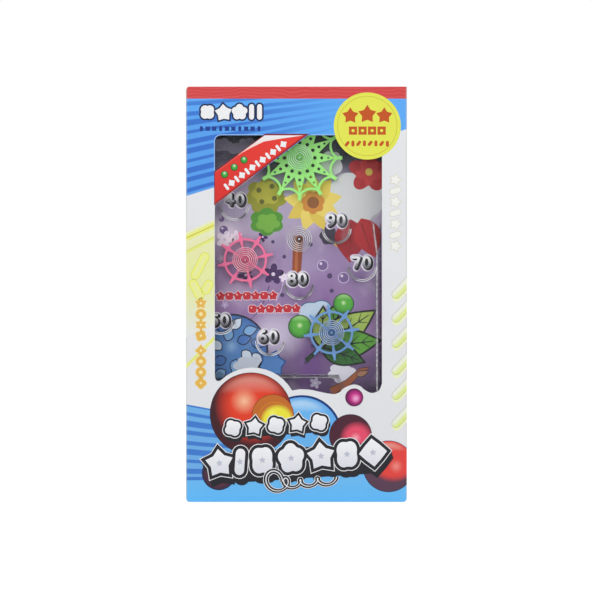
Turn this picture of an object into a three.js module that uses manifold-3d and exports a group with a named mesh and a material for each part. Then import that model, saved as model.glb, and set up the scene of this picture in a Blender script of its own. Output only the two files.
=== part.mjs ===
// A handheld pinball game in its window carton, standing on the carton's bottom end.
// Millimetres. +Z is up, +X is to the right of someone who faces the window, and the window faces -Y.
// The origin is the middle of the carton's bottom face.
import * as THREE from "three";
import { mergeVertices } from "three/addons/utils/BufferGeometryUtils.js";
import Module from "manifold-3d";

const wasm = await Module();
wasm.setup();

// Game case and its layers, from the back to the front
const GAME_WIDTH = 121;
const GAME_HEIGHT = 230.5;
const CASE_FLOOR = 1.8;
const CASE_ROOM = 9;
const DECK = 1.6;
const CARD = 0.4;
const COVER_PLATE = 1.8;
const LAYER_GAP = 0.2;
const OUTER_WALL = 1.6;
const ARENA_WALL = 1.2;
const BORDER = 6.2;
const DECK_INSET = 5.8;
const CASE_CORNER = 20;
const ARCH_RADIUS = 38;
const FOOT_CORNER = 7;
const ARENA_FOOT_CORNER = 2;
const LEDGE_WALL = 1.2;
const LEDGE_INSET = 9;

// Balls and the shooting lane
const BALL_DIAMETER = 6.35;
const BALL_HEADROOM = 2.45;
const LANE_ROOM = 1.85;
const LANE_TOP = 156.5;
const LANE_TOP_LEAN = 2.2;
const LANE_LEAN_LENGTH = 18.5;
const BALL_GAP = 0.15;
const BALL_REST = 1.3;
const BALL_REST_HEIGHT = 2;
const QUEUED_BALLS = 5;

// Ramp that leads the balls back to the lane, and the shelf over it
const RAMP_SHARE = 0.2178;
const RAMP_RISE = 10;
const RIB = 1.2;
const SHELF_RISE = 18.6;
const SHELF_REACH_SHARE = 0.721;
const SHELF_LIP_DROP = 6.4;
const SHELF_LIP_LEAN = 2.4;
const PILLAR_RADIUS = 2.2;
const MOUTH_PILLAR_RISE = 3.6;
const SHELF_PILLAR_RADIUS = 1.4;

// Plunger and the notch that its knob moves in
const PLUNGER_TRAVEL = 9;
const ROD_RADIUS = 1.1;
const RUNNING_GAP = 0.3;
const KNOB_ROOM = 1.2;
const KNOB_RADIUS = 6;
const KNOB_LENGTH = 11;
const KNOB_NECK_RADIUS = 3.4;
const KNOB_SOCKET = 8;
const STRIKER_RADIUS = 2.1;
const STRIKER_HEAD = 3.6;
const STRIKER_FLANGE_RADIUS = 2.9;
const STRIKER_FLANGE = 1.2;
const SPRING_WIRE = 0.55;
const SPRING_RADIUS = 2.3;
const SPRING_TURNS = 7;

// Turning wheels and their pins
const STAR_RADIUS = 24.3;
const STAR_ARMS = 12;
const STAR_THICKNESS = 2.2;
const STAR_VALLEY_RADIUS = 11.2;
const STAR_POINT_RADIUS = 21.6;
const STAR_WEB = 1.3;
const STAR_WEB_DIP = 2.4;
const STAR_TIP_WIDTH = 2;
const STAR_HOLE_RADII = [1.1, 0.95, 0.7];
const STAR_HOLE_RINGS = [8.7, 12.6, 16.3];
const WEB_RADIUS = 16;
const WEB_RING_RADIUS = 11.8;
const WEB_SPOKES = 8;
const WEB_THICKNESS = 1.8;
const WEB_STRAND = 1.25;
const WEB_GUSSET = 2.6;
const WEB_HUB_RADIUS = 4.1;
const PINK_WEB_TURN = THREE.MathUtils.degToRad(12);
const BLUE_WEB_TURN = THREE.MathUtils.degToRad(7);
const HUB_RADIUS = 2.7;
const PIN_RADIUS = 1;
const PIN_HEAD_RADIUS = 1.5;
const PIN_HEAD = 1.2;

// Cover details
const CUP_RADIUS = 7.2;
const CUP_WALL = 1.3;
const CUP_NIB = 2.4;
const LENS_RADIUS = 7.2;
const LENS_HOLE_RADIUS = 1.7;
const LENS_RINGS = 5;
const LENS_HEIGHT = 0.9;

// Screws that hold the case and the cover together
const SCREW_RADIUS = 0.95;
const SCREW_HEAD_RADIUS = 1.7;
const SCREW_HEAD = 1.3;
const SCREW_LENGTH = 13;
const SCREW_SINK = 5;
const POST_RADIUS = 2.7;
const SCREW_EDGE = 2.8;
const SCREW_CORNER = 11;

// Carton
const BOARD = 0.5;
const SIDE_ROOM = 1.5;
const FRONT_ROOM = 4.5;
const BACK_ROOM = 0.4;
const TOP_ROOM = 1.2;
const BOARD_GAP = 0.1;
const FLAP_GAP = 0.3;
const CRUSHED_CORNER = 2.2;
const FOLD_RADIUS = 0.8;
const TONGUE = 12;
const TONGUE_SLANT = THREE.MathUtils.degToRad(13);
const TONGUE_SHOULDER = 1.5;
const TONGUE_CORNER = 6;
const DUST_FLAP = 26;
const DUST_FLAP_BACK_TAPER_SHARE = 0.55;
const DUST_FLAP_FRONT_TAPER_SHARE = 0.2;
const TONGUE_SWEEP_ROOM = 0.5;
const GLUE_FLAP = 13;

// Die-cut window
const WINDOW_LEFT_MARGIN = 16.3;
const WINDOW_RIGHT_MARGIN = 14.1;
const WINDOW_TOP_MARGIN = 27.5;
const WINDOW_CORNER = 3.4;
const BAND_UPPER_DROP = 20.4;
const BAND_UPPER_RUN_SHARE = 0.2939;
const BAND_LOWER_DROP = 39.4;
const BAND_LOWER_RUN_SHARE = 0.5581;
const ROUNDEL_RADIUS = 19;
const ROUNDEL_SIDE_MARGIN = 22.4;
const ROUNDEL_TOP_MARGIN = 22.3;
const BIG_BALL_RADIUS_SHARE = 0.2727;
const BIG_BALL_HEIGHT = 50.2;
const BIG_BALL_ACROSS_SHARE = 0.2252;
const SILL_HEIGHT = 61;
const SILL_WAVE = 6;

// Places on the playfield, as shares of its width and height from its lower left corner
const STAR_SHARE = [0.517, 0.858];
const PINK_SHARE = [0.231, 0.591];
const BLUE_SHARE = [0.684, 0.401];
const CENTRE_SHARE = [0.5145, 0.645];
const CUP_SHARES = [
  [0.174, 0.733],
  [0.711, 0.672],
  [0.514, 0.5255],
  [0.846, 0.573],
  [0.361, 0.378],
  [0.101, 0.434],
];
const PILLAR_ACROSS_SHARES = [0.099, 0.902];
const SHELF_PILLAR_SHARE = 0.68;

// The sill's points from right to left, as shares of the window's width and of the sill's wave
const SILL_SHARES = [
  [0.985, 0.4],
  [0.958, 0.15],
  [0.931, 0.12],
  [0.896, 0.4],
  [0.869, 0.75],
  [0.833, 0.9],
  [0.797, 0.75],
  [0.765, 0.47],
  [0.747, 0.18],
  [0.716, 0],
  [0.68, 0.05],
  [0.626, 0.22],
  [0.572, 0.4],
  [0.509, 0.46],
];

// One overrun for every cut
const OVERRUN = 2;

// Facets on round shapes
const ARC_STEPS = 4;
const WINDOW_STEPS = 6;
const RING_STEPS = 16;
const ROUND_STEPS = 20;
const SMALL_ROUND_STEPS = 12;
const HOLE_STEPS = 4;
const FOLD_STEPS = 3;

const TURN = 2 * Math.PI;
const QUARTER = Math.PI / 2;

// Depths in the game, measured forward from its back face
const DECK_BACK = CASE_FLOOR + CASE_ROOM;
const DECK_FRONT = DECK_BACK + DECK;
const CARD_BACK = DECK_FRONT + LAYER_GAP;
const CARD_FRONT = CARD_BACK + CARD;
const PLAY_FRONT = CARD_FRONT + BALL_DIAMETER + BALL_HEADROOM;
const GAME_DEPTH = PLAY_FRONT + COVER_PLATE;
const BALL_DEPTH = CARD_FRONT + BALL_DIAMETER / 2 + BALL_GAP;
const CASE_FRONT = CARD_FRONT;
const SKIRT_BACK = CASE_FRONT + LAYER_GAP;
const RIB_BACK = CARD_FRONT + LAYER_GAP;

// Carton sizes that follow from the game
const BOTTOM_ROOM = 3 * BOARD + 2 * BOARD_GAP + FLAP_GAP;
const CARTON_WIDTH = GAME_WIDTH + 2 * (SIDE_ROOM + BOARD);
const CARTON_DEPTH = GAME_DEPTH + FRONT_ROOM + BACK_ROOM + 3 * BOARD + BOARD_GAP;
const CARTON_HEIGHT = BOTTOM_ROOM + GAME_HEIGHT + TOP_ROOM + 2 * BOARD + FLAP_GAP;
const CARTON_FRONT_Y = -CARTON_DEPTH / 2;
const CARTON_BACK_Y = CARTON_DEPTH / 2;
const GAME_BACK_Y = CARTON_BACK_Y - 2 * BOARD - BOARD_GAP - BACK_ROOM;
const GAME_BOTTOM = BOTTOM_ROOM;
const GAME_TOP = GAME_BOTTOM + GAME_HEIGHT;

// Playfield edges
const ARENA_HALF = GAME_WIDTH / 2 - BORDER;
const ARENA_BOTTOM = GAME_BOTTOM + BORDER;
const ARENA_TOP = GAME_TOP - BORDER;
const LANE_WIDTH = BALL_DIAMETER + LANE_ROOM;
const DIVIDER_RIGHT = ARENA_HALF - LANE_WIDTH;
const DIVIDER_LEFT = DIVIDER_RIGHT - RIB;
const LANE_X = ARENA_HALF - LANE_WIDTH / 2;
const NOTCH_X = LANE_X - KNOB_RADIUS - KNOB_ROOM;
const NOTCH_Z = GAME_BOTTOM + KNOB_LENGTH + PLUNGER_TRAVEL + RUNNING_GAP + KNOB_ROOM;
const LANE_FLOOR = NOTCH_Z + BORDER;

// Heights above the game's lower edge, as heights in the part
const RAMP_EDGE_Z = GAME_BOTTOM + RAMP_SHARE * GAME_HEIGHT;
const MOUTH_TOP_Z = RAMP_EDGE_Z + BALL_DIAMETER + LANE_ROOM;
const SHELF_Z = RAMP_EDGE_Z + SHELF_RISE;
const LANE_TOP_Z = GAME_BOTTOM + LANE_TOP;
const REST_EDGE = LANE_WIDTH / 2 - BALL_REST;
const LAUNCH_BALL_Z = RAMP_EDGE_Z + BALL_GAP + Math.sqrt((BALL_DIAMETER / 2) ** 2 - REST_EDGE ** 2);

// A place on the playfield from its shares.
function onPlayfield([acrossShare, upShare]) {
  return [
    (acrossShare - 1 / 2) * 2 * ARENA_HALF,
    ARENA_BOTTOM + upShare * (ARENA_TOP - ARENA_BOTTOM),
  ];
}

// A closed geometry as a solid that can be joined and cut.
function solidOf(geometry) {
  const bare = new THREE.BufferGeometry();
  bare.setAttribute("position", geometry.getAttribute("position").clone());
  if (geometry.index) bare.setIndex(geometry.index.clone());
  const merged = mergeVertices(bare);
  const corners = [];
  const index = merged.index.array;
  for (let i = 0; i < index.length; i += 3) {
    const [a, b, c] = index.slice(i, i + 3);
    if (a !== b && b !== c && c !== a) corners.push(a, b, c);
  }
  return new wasm.Manifold(
    new wasm.Mesh({
      numProp: 3,
      vertProperties: merged.attributes.position.array,
      triVerts: new Uint32Array(corners),
    }),
  );
}

// A solid back as a geometry.
function geometryOf(solid) {
  const mesh = solid.getMesh();
  const positions = new Float32Array(mesh.numVert * 3);
  for (let i = 0; i < mesh.numVert; i++) {
    const start = i * mesh.numProp;
    positions.set(mesh.vertProperties.subarray(start, start + 3), i * 3);
  }
  const geometry = new THREE.BufferGeometry();
  geometry.setAttribute("position", new THREE.BufferAttribute(positions, 3));
  geometry.setIndex(new THREE.BufferAttribute(mesh.triVerts, 1));
  geometry.computeVertexNormals();
  return geometry;
}

function joined(solids) {
  return solids.reduce((whole, next) => whole.add(next));
}

function cut(solid, cutters) {
  return cutters.reduce((whole, next) => whole.subtract(next), solid);
}

// A front-view shape (x across, z up) made solid between two places in y.
function slab(shape, backY, frontY, steps = ARC_STEPS) {
  const geometry = new THREE.ExtrudeGeometry(shape, {
    depth: backY - frontY,
    bevelEnabled: false,
    curveSegments: steps,
  });
  return solidOf(geometry.rotateX(QUARTER).translate(0, backY, 0));
}

// A front-view shape made solid between two depths of the game.
function layer(shape, fromDepth, toDepth, steps) {
  return slab(shape, GAME_BACK_Y - fromDepth, GAME_BACK_Y - toDepth, steps);
}

function box(left, right, backY, frontY, bottom, top) {
  const geometry = new THREE.BoxGeometry(right - left, backY - frontY, top - bottom);
  geometry.translate((left + right) / 2, (backY + frontY) / 2, (bottom + top) / 2);
  return solidOf(geometry);
}

// A profile of [radius, height] pairs turned about the z axis at (x, y).
function turned(profile, x, y, steps = ROUND_STEPS) {
  const points = profile.map(([radius, height]) => new THREE.Vector2(radius, height));
  const geometry = new THREE.LatheGeometry(points, steps);
  return solidOf(geometry.rotateX(QUARTER).translate(x, y, 0));
}

// A profile of [radius, depth] pairs turned about an axis that points to the front at (x, z).
function turnedForward(profile, x, z, steps = ROUND_STEPS) {
  const points = profile.map(([radius, depth]) => new THREE.Vector2(radius, depth));
  const geometry = new THREE.LatheGeometry(points, steps);
  return solidOf(geometry.rotateX(Math.PI).translate(x, GAME_BACK_Y, z));
}

function roundForward(radius, fromDepth, toDepth, [x, z], steps = ROUND_STEPS) {
  const profile = [
    [0, fromDepth],
    [radius, fromDepth],
    [radius, toDepth],
    [0, toDepth],
  ];
  return turnedForward(profile, x, z, steps);
}

// A straight rib of the cover between two places, with square ends.
function rib(from, to, width = RIB) {
  const along = new THREE.Vector2(to[0] - from[0], to[1] - from[1]);
  const side = new THREE.Vector2(-along.y, along.x).setLength(width / 2);
  const shape = new THREE.Shape([
    new THREE.Vector2(from[0] - side.x, from[1] - side.y),
    new THREE.Vector2(to[0] - side.x, to[1] - side.y),
    new THREE.Vector2(to[0] + side.x, to[1] + side.y),
    new THREE.Vector2(from[0] + side.x, from[1] + side.y),
  ]);
  return layer(shape, RIB_BACK, PLAY_FRONT + COVER_PLATE / 2);
}

// The case's front outline with the knob's notch, drawn in by a named amount.
function caseOutline(inset, topCorner, footCorner) {
  const left = -GAME_WIDTH / 2 + inset;
  const right = GAME_WIDTH / 2 - inset;
  const bottom = GAME_BOTTOM + inset;
  const top = GAME_TOP - inset;
  const shape = new THREE.Shape();
  shape.moveTo(left + footCorner, bottom);
  shape.lineTo(NOTCH_X - inset, bottom);
  shape.lineTo(NOTCH_X - inset, NOTCH_Z + inset);
  shape.lineTo(right, NOTCH_Z + inset);
  shape.lineTo(right, top - topCorner);
  shape.absarc(right - topCorner, top - topCorner, topCorner, 0, QUARTER, false);
  shape.lineTo(left + topCorner, top);
  shape.absarc(left + topCorner, top - topCorner, topCorner, QUARTER, Math.PI, false);
  shape.lineTo(left, bottom + footCorner);
  shape.absarc(left + footCorner, bottom + footCorner, footCorner, Math.PI, 3 * QUARTER, false);
  return shape;
}

function outerOutline(inset) {
  return caseOutline(inset, CASE_CORNER - inset, Math.max(FOOT_CORNER - inset, inset / FOOT_CORNER));
}

function arenaOutline(wall) {
  return caseOutline(BORDER - wall, ARCH_RADIUS + wall, ARENA_FOOT_CORNER + wall);
}

const SCREW_PLACES = [
  [-GAME_WIDTH / 2 + SCREW_CORNER, GAME_TOP - SCREW_CORNER],
  [GAME_WIDTH / 2 - SCREW_CORNER, GAME_TOP - SCREW_CORNER],
  [-GAME_WIDTH / 2 + SCREW_EDGE, GAME_BOTTOM + GAME_HEIGHT / 2],
  [GAME_WIDTH / 2 - SCREW_EDGE, GAME_BOTTOM + GAME_HEIGHT / 2],
  [-GAME_WIDTH / 3, GAME_BOTTOM + SCREW_EDGE],
  [GAME_WIDTH / 4, GAME_BOTTOM + SCREW_EDGE],
];
const PIN_PLACES = [STAR_SHARE, PINK_SHARE, BLUE_SHARE, CENTRE_SHARE].map(onPlayfield);

// Rear case: a tray with a ledge under the deck and a post for each screw.
function rearCase() {
  const tray = cut(layer(outerOutline(0), 0, CASE_FRONT), [
    layer(outerOutline(OUTER_WALL), CASE_FLOOR, CASE_FRONT + OVERRUN),
  ]);
  const ledgeFront = DECK_BACK - LAYER_GAP;
  const ledge = cut(layer(outerOutline(LEDGE_INSET), CASE_FLOOR / 2, ledgeFront), [
    layer(outerOutline(LEDGE_INSET + LEDGE_WALL), CASE_FLOOR, ledgeFront + OVERRUN),
  ]);
  const posts = SCREW_PLACES.map((place) => roundForward(POST_RADIUS, CASE_FLOOR / 2, CASE_FRONT, place, SMALL_ROUND_STEPS));
  const holes = SCREW_PLACES.flatMap((place) => [
    roundForward(SCREW_HEAD_RADIUS + RUNNING_GAP, -OVERRUN, SCREW_SINK, place, SMALL_ROUND_STEPS),
    roundForward(SCREW_RADIUS + RUNNING_GAP, -OVERRUN, CASE_FRONT + OVERRUN, place, SMALL_ROUND_STEPS),
  ]);
  return cut(joined([tray, ledge, ...posts]), holes);
}

// A flat sheet inside the case, holed for the pins and cleared round the screw posts.
function playSheet(fromDepth, toDepth) {
  const postClearance = SCREW_PLACES.map((place) =>
    roundForward(POST_RADIUS + RUNNING_GAP, fromDepth - OVERRUN, toDepth + OVERRUN, place, SMALL_ROUND_STEPS),
  );
  const holes = PIN_PLACES.map((place) =>
    roundForward(PIN_RADIUS + RUNNING_GAP / 2, fromDepth - OVERRUN, toDepth + OVERRUN, place, SMALL_ROUND_STEPS),
  );
  return cut(layer(outerOutline(DECK_INSET), fromDepth, toDepth), [...postClearance, ...holes]);
}

// A half-round cup under a score, with the small nib at its lowest point.
function cup([x, z]) {
  const shape = new THREE.Shape();
  shape.absarc(x, z, CUP_RADIUS + CUP_WALL, Math.PI, TURN, false);
  shape.absarc(x, z, CUP_RADIUS, TURN, Math.PI, true);
  const nib = new THREE.Shape();
  nib.moveTo(x - CUP_NIB / 2, z - CUP_RADIUS - CUP_WALL / 2);
  nib.lineTo(x + CUP_NIB / 2, z - CUP_RADIUS - CUP_WALL / 2);
  nib.lineTo(x, z - CUP_RADIUS + CUP_NIB);
  const front = PLAY_FRONT + COVER_PLATE / 2;
  return joined([layer(shape, RIB_BACK, front, WINDOW_STEPS), layer(nib, RIB_BACK, front)]);
}

// The target of raised rings over a pin, on the cover's outer face.
function ringTarget([x, z]) {
  const face = GAME_DEPTH;
  const pitch = (LENS_RADIUS - LENS_HOLE_RADIUS) / LENS_RINGS;
  const profile = [
    [0, face - COVER_PLATE / 2],
    [LENS_RADIUS, face - COVER_PLATE / 2],
    [LENS_RADIUS, face],
  ];
  for (let ring = LENS_RINGS; ring > 0; ring--) {
    const outer = LENS_HOLE_RADIUS + pitch * ring;
    const height = LENS_HEIGHT * (1 - ring / (LENS_RINGS + 2));
    profile.push([outer - pitch / 4, face + height]);
    profile.push([outer - (3 * pitch) / 4, face + height / 4]);
  }
  profile.push([LENS_HOLE_RADIUS, face + LENS_HEIGHT]);
  profile.push([0, face + LENS_HEIGHT]);
  return turnedForward(profile, x, z);
}

// Wall between the playfield and the lane, open where the balls roll into the lane.
function laneDivider() {
  const middle = (DIVIDER_LEFT + DIVIDER_RIGHT) / 2;
  const leanFrom = LANE_TOP_Z - LANE_LEAN_LENGTH;
  return [
    rib([middle, LANE_FLOOR - ARENA_WALL / 2], [middle, RAMP_EDGE_Z - RIB / 2]),
    rib([middle, MOUTH_TOP_Z], [middle, leanFrom]),
    rib([middle, leanFrom - RIB / 2], [middle - LANE_TOP_LEAN, LANE_TOP_Z]),
  ];
}

// Return ramp, which ends under the launched ball, and the small ledge that holds its other side.
function rampAndRest() {
  const rampTop = [
    [LANE_X - REST_EDGE, RAMP_EDGE_Z],
    [DIVIDER_LEFT, RAMP_EDGE_Z],
    [-ARENA_HALF - ARENA_WALL / 2, RAMP_EDGE_Z + RAMP_RISE],
  ];
  const underside = rampTop.map(([x, z]) => [x, z - RIB]).reverse();
  const ramp = new THREE.Shape([...rampTop, ...underside].map(([x, z]) => new THREE.Vector2(x, z)).reverse());
  const restMiddle = RAMP_EDGE_Z - BALL_REST_HEIGHT / 2;
  return [
    layer(ramp, RIB_BACK, PLAY_FRONT + COVER_PLATE / 2),
    rib([LANE_X + REST_EDGE, restMiddle], [ARENA_HALF + ARENA_WALL / 2, restMiddle], BALL_REST_HEIGHT),
  ];
}

// Shelf over the ramp, with its turned-down end and the small pillar on it.
function shelf() {
  const reach = 2 * ARENA_HALF * SHELF_REACH_SHARE;
  const shelfEnd = -ARENA_HALF + reach;
  const pillarX = -ARENA_HALF + reach * SHELF_PILLAR_SHARE;
  return [
    rib([-ARENA_HALF - ARENA_WALL / 2, SHELF_Z], [shelfEnd, SHELF_Z]),
    rib([shelfEnd - RIB / 2, SHELF_Z + RIB / 3], [shelfEnd + SHELF_LIP_LEAN, SHELF_Z - SHELF_LIP_DROP]),
    roundForward(SHELF_PILLAR_RADIUS, RIB_BACK, PLAY_FRONT + COVER_PLATE / 2, [pillarX, SHELF_Z], SMALL_ROUND_STEPS),
  ];
}

// Clear cover: plate, skirt and every wall that the balls run against, moulded as one.
function clearCover() {
  const plate = layer(outerOutline(0), PLAY_FRONT, GAME_DEPTH);
  const skirt = cut(layer(outerOutline(0), SKIRT_BACK, PLAY_FRONT + COVER_PLATE / 2), [
    layer(outerOutline(OUTER_WALL), SKIRT_BACK - OVERRUN, PLAY_FRONT),
  ]);
  const arenaWall = cut(layer(arenaOutline(ARENA_WALL), RIB_BACK, PLAY_FRONT + COVER_PLATE / 2), [
    layer(arenaOutline(0), RIB_BACK - OVERRUN, PLAY_FRONT),
  ]);
  const bosses = SCREW_PLACES.map((place) => roundForward(POST_RADIUS, SKIRT_BACK, PLAY_FRONT + COVER_PLATE / 2, place, SMALL_ROUND_STEPS));
  const pillarHeights = [SHELF_Z, MOUTH_TOP_Z + MOUTH_PILLAR_RISE];
  const pillars = PILLAR_ACROSS_SHARES.map((share, i) => {
    const place = [onPlayfield([share, 0])[0], pillarHeights[i]];
    return roundForward(PILLAR_RADIUS, RIB_BACK, PLAY_FRONT + COVER_PLATE / 2, place, SMALL_ROUND_STEPS);
  });
  const screwTip = SCREW_SINK + SCREW_LENGTH + RUNNING_GAP;
  const pilots = SCREW_PLACES.map((place) =>
    roundForward(SCREW_RADIUS + RUNNING_GAP / 2, SKIRT_BACK - OVERRUN, screwTip, place, SMALL_ROUND_STEPS),
  );
  const rodHole = turned(
    [
      [0, NOTCH_Z - OVERRUN],
      [ROD_RADIUS + RUNNING_GAP, NOTCH_Z - OVERRUN],
      [ROD_RADIUS + RUNNING_GAP, LANE_FLOOR + OVERRUN],
      [0, LANE_FLOOR + OVERRUN],
    ],
    LANE_X,
    GAME_BACK_Y - BALL_DEPTH,
    SMALL_ROUND_STEPS,
  );
  const whole = joined([
    plate,
    skirt,
    arenaWall,
    ...bosses,
    ...pillars,
    ...laneDivider(),
    ...rampAndRest(),
    ...shelf(),
    ...CUP_SHARES.map((share) => cup(onPlayfield(share))),
    ...PIN_PLACES.map(ringTarget),
  ]);
  const rodSlot = box(
    LANE_X - ROD_RADIUS - RUNNING_GAP,
    LANE_X + ROD_RADIUS + RUNNING_GAP,
    GAME_BACK_Y - SKIRT_BACK + OVERRUN,
    GAME_BACK_Y - BALL_DEPTH,
    NOTCH_Z - OVERRUN,
    LANE_FLOOR + OVERRUN,
  );
  return cut(whole, [...pilots, rodHole, rodSlot]);
}

// Depths that the wheels turn at
const WHEEL_BACK = CARD_FRONT + BALL_DIAMETER / 3;
const HUB_BACK = CARD_FRONT + RUNNING_GAP;
const PIN_FRONT = PLAY_FRONT - LAYER_GAP;
const HUB_FRONT = PIN_FRONT - PIN_HEAD - RUNNING_GAP;

function hubAt(place) {
  return roundForward(HUB_RADIUS, HUB_BACK, HUB_FRONT, place);
}

function hubBore(place) {
  return roundForward(PIN_RADIUS + RUNNING_GAP, HUB_BACK - OVERRUN, HUB_FRONT + OVERRUN, place, SMALL_ROUND_STEPS);
}

function polar([x, z], radius, angle) {
  return [x + radius * Math.cos(angle), z + radius * Math.sin(angle)];
}

function circleHole(place, radius) {
  const hole = new THREE.Path();
  hole.absarc(place[0], place[1], radius, 0, TURN, true);
  return hole;
}

// A bar of a wheel between two radii along one angle, narrowing to its outer end.
function spoke(centre, angle, fromRadius, toRadius, innerWidth, outerWidth, thickness) {
  const side = angle + QUARTER;
  const inner = polar(centre, fromRadius, angle);
  const outer = polar(centre, toRadius, angle);
  const corners = [
    polar(inner, -innerWidth / 2, side),
    polar(outer, -outerWidth / 2, side),
    polar(outer, outerWidth / 2, side),
    polar(inner, innerWidth / 2, side),
  ];
  const shape = new THREE.Shape(corners.map(([x, z]) => new THREE.Vector2(x, z)));
  return layer(shape, WHEEL_BACK, WHEEL_BACK + thickness);
}

// Perforated star: pointed arms with three holes each, tied at their tips by drawn-in arcs.
function starWheel(centre) {
  const step = TURN / STAR_ARMS;
  const outline = [];
  for (let arm = 0; arm < STAR_ARMS; arm++) {
    outline.push(polar(centre, STAR_POINT_RADIUS, arm * step));
    outline.push(polar(centre, STAR_VALLEY_RADIUS, (arm + 1 / 2) * step));
  }
  const star = new THREE.Shape(outline.map(([x, z]) => new THREE.Vector2(x, z)));
  STAR_HOLE_RINGS.forEach((ringRadius, ring) => {
    for (let arm = 0; arm < STAR_ARMS; arm++) {
      star.holes.push(circleHole(polar(centre, ringRadius, arm * step), STAR_HOLE_RADII[ring]));
    }
  });
  const pieces = [layer(star, WHEEL_BACK, WHEEL_BACK + STAR_THICKNESS, HOLE_STEPS)];
  const halfChord = STAR_POINT_RADIUS * Math.sin(step / 2);
  const arcRadius = (halfChord ** 2 + STAR_WEB_DIP ** 2) / (2 * STAR_WEB_DIP);
  const arcReach = STAR_POINT_RADIUS * Math.cos(step / 2) - STAR_WEB_DIP + arcRadius;
  const halfSweep = Math.asin(halfChord / arcRadius);
  for (let arm = 0; arm < STAR_ARMS; arm++) {
    const angle = arm * step;
    const facing = angle + step / 2 + Math.PI;
    const [x, z] = polar(centre, arcReach, angle + step / 2);
    const arc = new THREE.Shape();
    arc.absarc(x, z, arcRadius + STAR_WEB / 2, facing - halfSweep, facing + halfSweep, false);
    arc.absarc(x, z, arcRadius - STAR_WEB / 2, facing + halfSweep, facing - halfSweep, true);
    pieces.push(layer(arc, WHEEL_BACK, WHEEL_BACK + STAR_THICKNESS, HOLE_STEPS));
    pieces.push(
      spoke(centre, angle, STAR_POINT_RADIUS - STAR_TIP_WIDTH, STAR_RADIUS, STAR_TIP_WIDTH, STAR_TIP_WIDTH, STAR_THICKNESS),
    );
  }
  return cut(joined([...pieces, hubAt(centre)]), [hubBore(centre)]);
}

// Spider-web wheel: a ring on spokes that run on past it, with a gusset at each crossing.
function webWheel(centre, firstAngle) {
  const step = TURN / WEB_SPOKES;
  const ring = new THREE.Shape();
  ring.absarc(centre[0], centre[1], WEB_RING_RADIUS + WEB_STRAND / 2, 0, TURN, false);
  ring.holes.push(circleHole(centre, WEB_RING_RADIUS - WEB_STRAND / 2));
  const pieces = [
    layer(ring, WHEEL_BACK, WHEEL_BACK + WEB_THICKNESS, RING_STEPS),
    roundForward(WEB_HUB_RADIUS, WHEEL_BACK, WHEEL_BACK + WEB_THICKNESS, centre),
    hubAt(centre),
  ];
  for (let arm = 0; arm < WEB_SPOKES; arm++) {
    const angle = firstAngle + arm * step;
    const ringInner = WEB_RING_RADIUS - WEB_GUSSET;
    pieces.push(spoke(centre, angle, HUB_RADIUS, WEB_RADIUS, WEB_STRAND, WEB_STRAND, WEB_THICKNESS));
    pieces.push(spoke(centre, angle, ringInner, WEB_RING_RADIUS, WEB_STRAND, WEB_GUSSET, WEB_THICKNESS));
    pieces.push(spoke(centre, angle, WEB_RING_RADIUS, WEB_RING_RADIUS + WEB_GUSSET, WEB_GUSSET, WEB_STRAND, WEB_THICKNESS));
  }
  return cut(joined(pieces), [hubBore(centre)]);
}

// Headed pin, pressed into the deck, that a wheel turns on.
function pivotPin([x, z]) {
  const profile = [
    [0, DECK_BACK],
    [PIN_RADIUS, DECK_BACK],
    [PIN_RADIUS, PIN_FRONT - PIN_HEAD],
    [PIN_HEAD_RADIUS, PIN_FRONT - PIN_HEAD],
    [PIN_HEAD_RADIUS, PIN_FRONT - PIN_HEAD / 2],
    [PIN_HEAD_RADIUS - PIN_HEAD / 2, PIN_FRONT],
    [0, PIN_FRONT],
  ];
  return turnedForward(profile, x, z, SMALL_ROUND_STEPS);
}

// Pan-headed screw, put in from the back.
function caseScrew([x, z]) {
  const headBack = SCREW_SINK - SCREW_HEAD - RUNNING_GAP;
  const headFront = SCREW_SINK - RUNNING_GAP;
  const tip = headFront + SCREW_LENGTH;
  const profile = [
    [0, headBack],
    [SCREW_HEAD_RADIUS - SCREW_HEAD / 2, headBack],
    [SCREW_HEAD_RADIUS, headBack + SCREW_HEAD / 2],
    [SCREW_HEAD_RADIUS, headFront],
    [SCREW_RADIUS, headFront],
    [SCREW_RADIUS, tip - SCREW_RADIUS],
    [0, tip],
  ];
  return turnedForward(profile, x, z, SMALL_ROUND_STEPS);
}

// Heights along the plunger, from the balls down
const STRIKER_TOP = LAUNCH_BALL_Z - BALL_DIAMETER / 2 - RUNNING_GAP;
const STRIKER_BOTTOM = STRIKER_TOP - STRIKER_HEAD - STRIKER_FLANGE;
const KNOB_TOP = NOTCH_Z - RUNNING_GAP;
const KNOB_BOTTOM = KNOB_TOP - KNOB_LENGTH;
const SPRING_BOTTOM = LANE_FLOOR + RUNNING_GAP;
const SPRING_TOP = STRIKER_BOTTOM - RUNNING_GAP;
const PLUNGER_Y = GAME_BACK_Y - BALL_DEPTH;
const STRIKER_SOCKET = STRIKER_FLANGE + STRIKER_HEAD / 2;

// A round socket cut up or down into a plunger piece for the rod.
function rodSocket(bottom, top) {
  const radius = ROD_RADIUS + RUNNING_GAP / 2;
  const profile = [
    [0, bottom],
    [radius, bottom],
    [radius, top],
    [0, top],
  ];
  return turned(profile, LANE_X, PLUNGER_Y, SMALL_ROUND_STEPS);
}

function plungerRod() {
  const bottom = KNOB_TOP - KNOB_SOCKET + RUNNING_GAP;
  const top = STRIKER_BOTTOM + STRIKER_SOCKET - RUNNING_GAP;
  const profile = [
    [0, bottom],
    [ROD_RADIUS, bottom],
    [ROD_RADIUS, top],
    [0, top],
  ];
  return turned(profile, LANE_X, PLUNGER_Y, SMALL_ROUND_STEPS);
}

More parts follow.
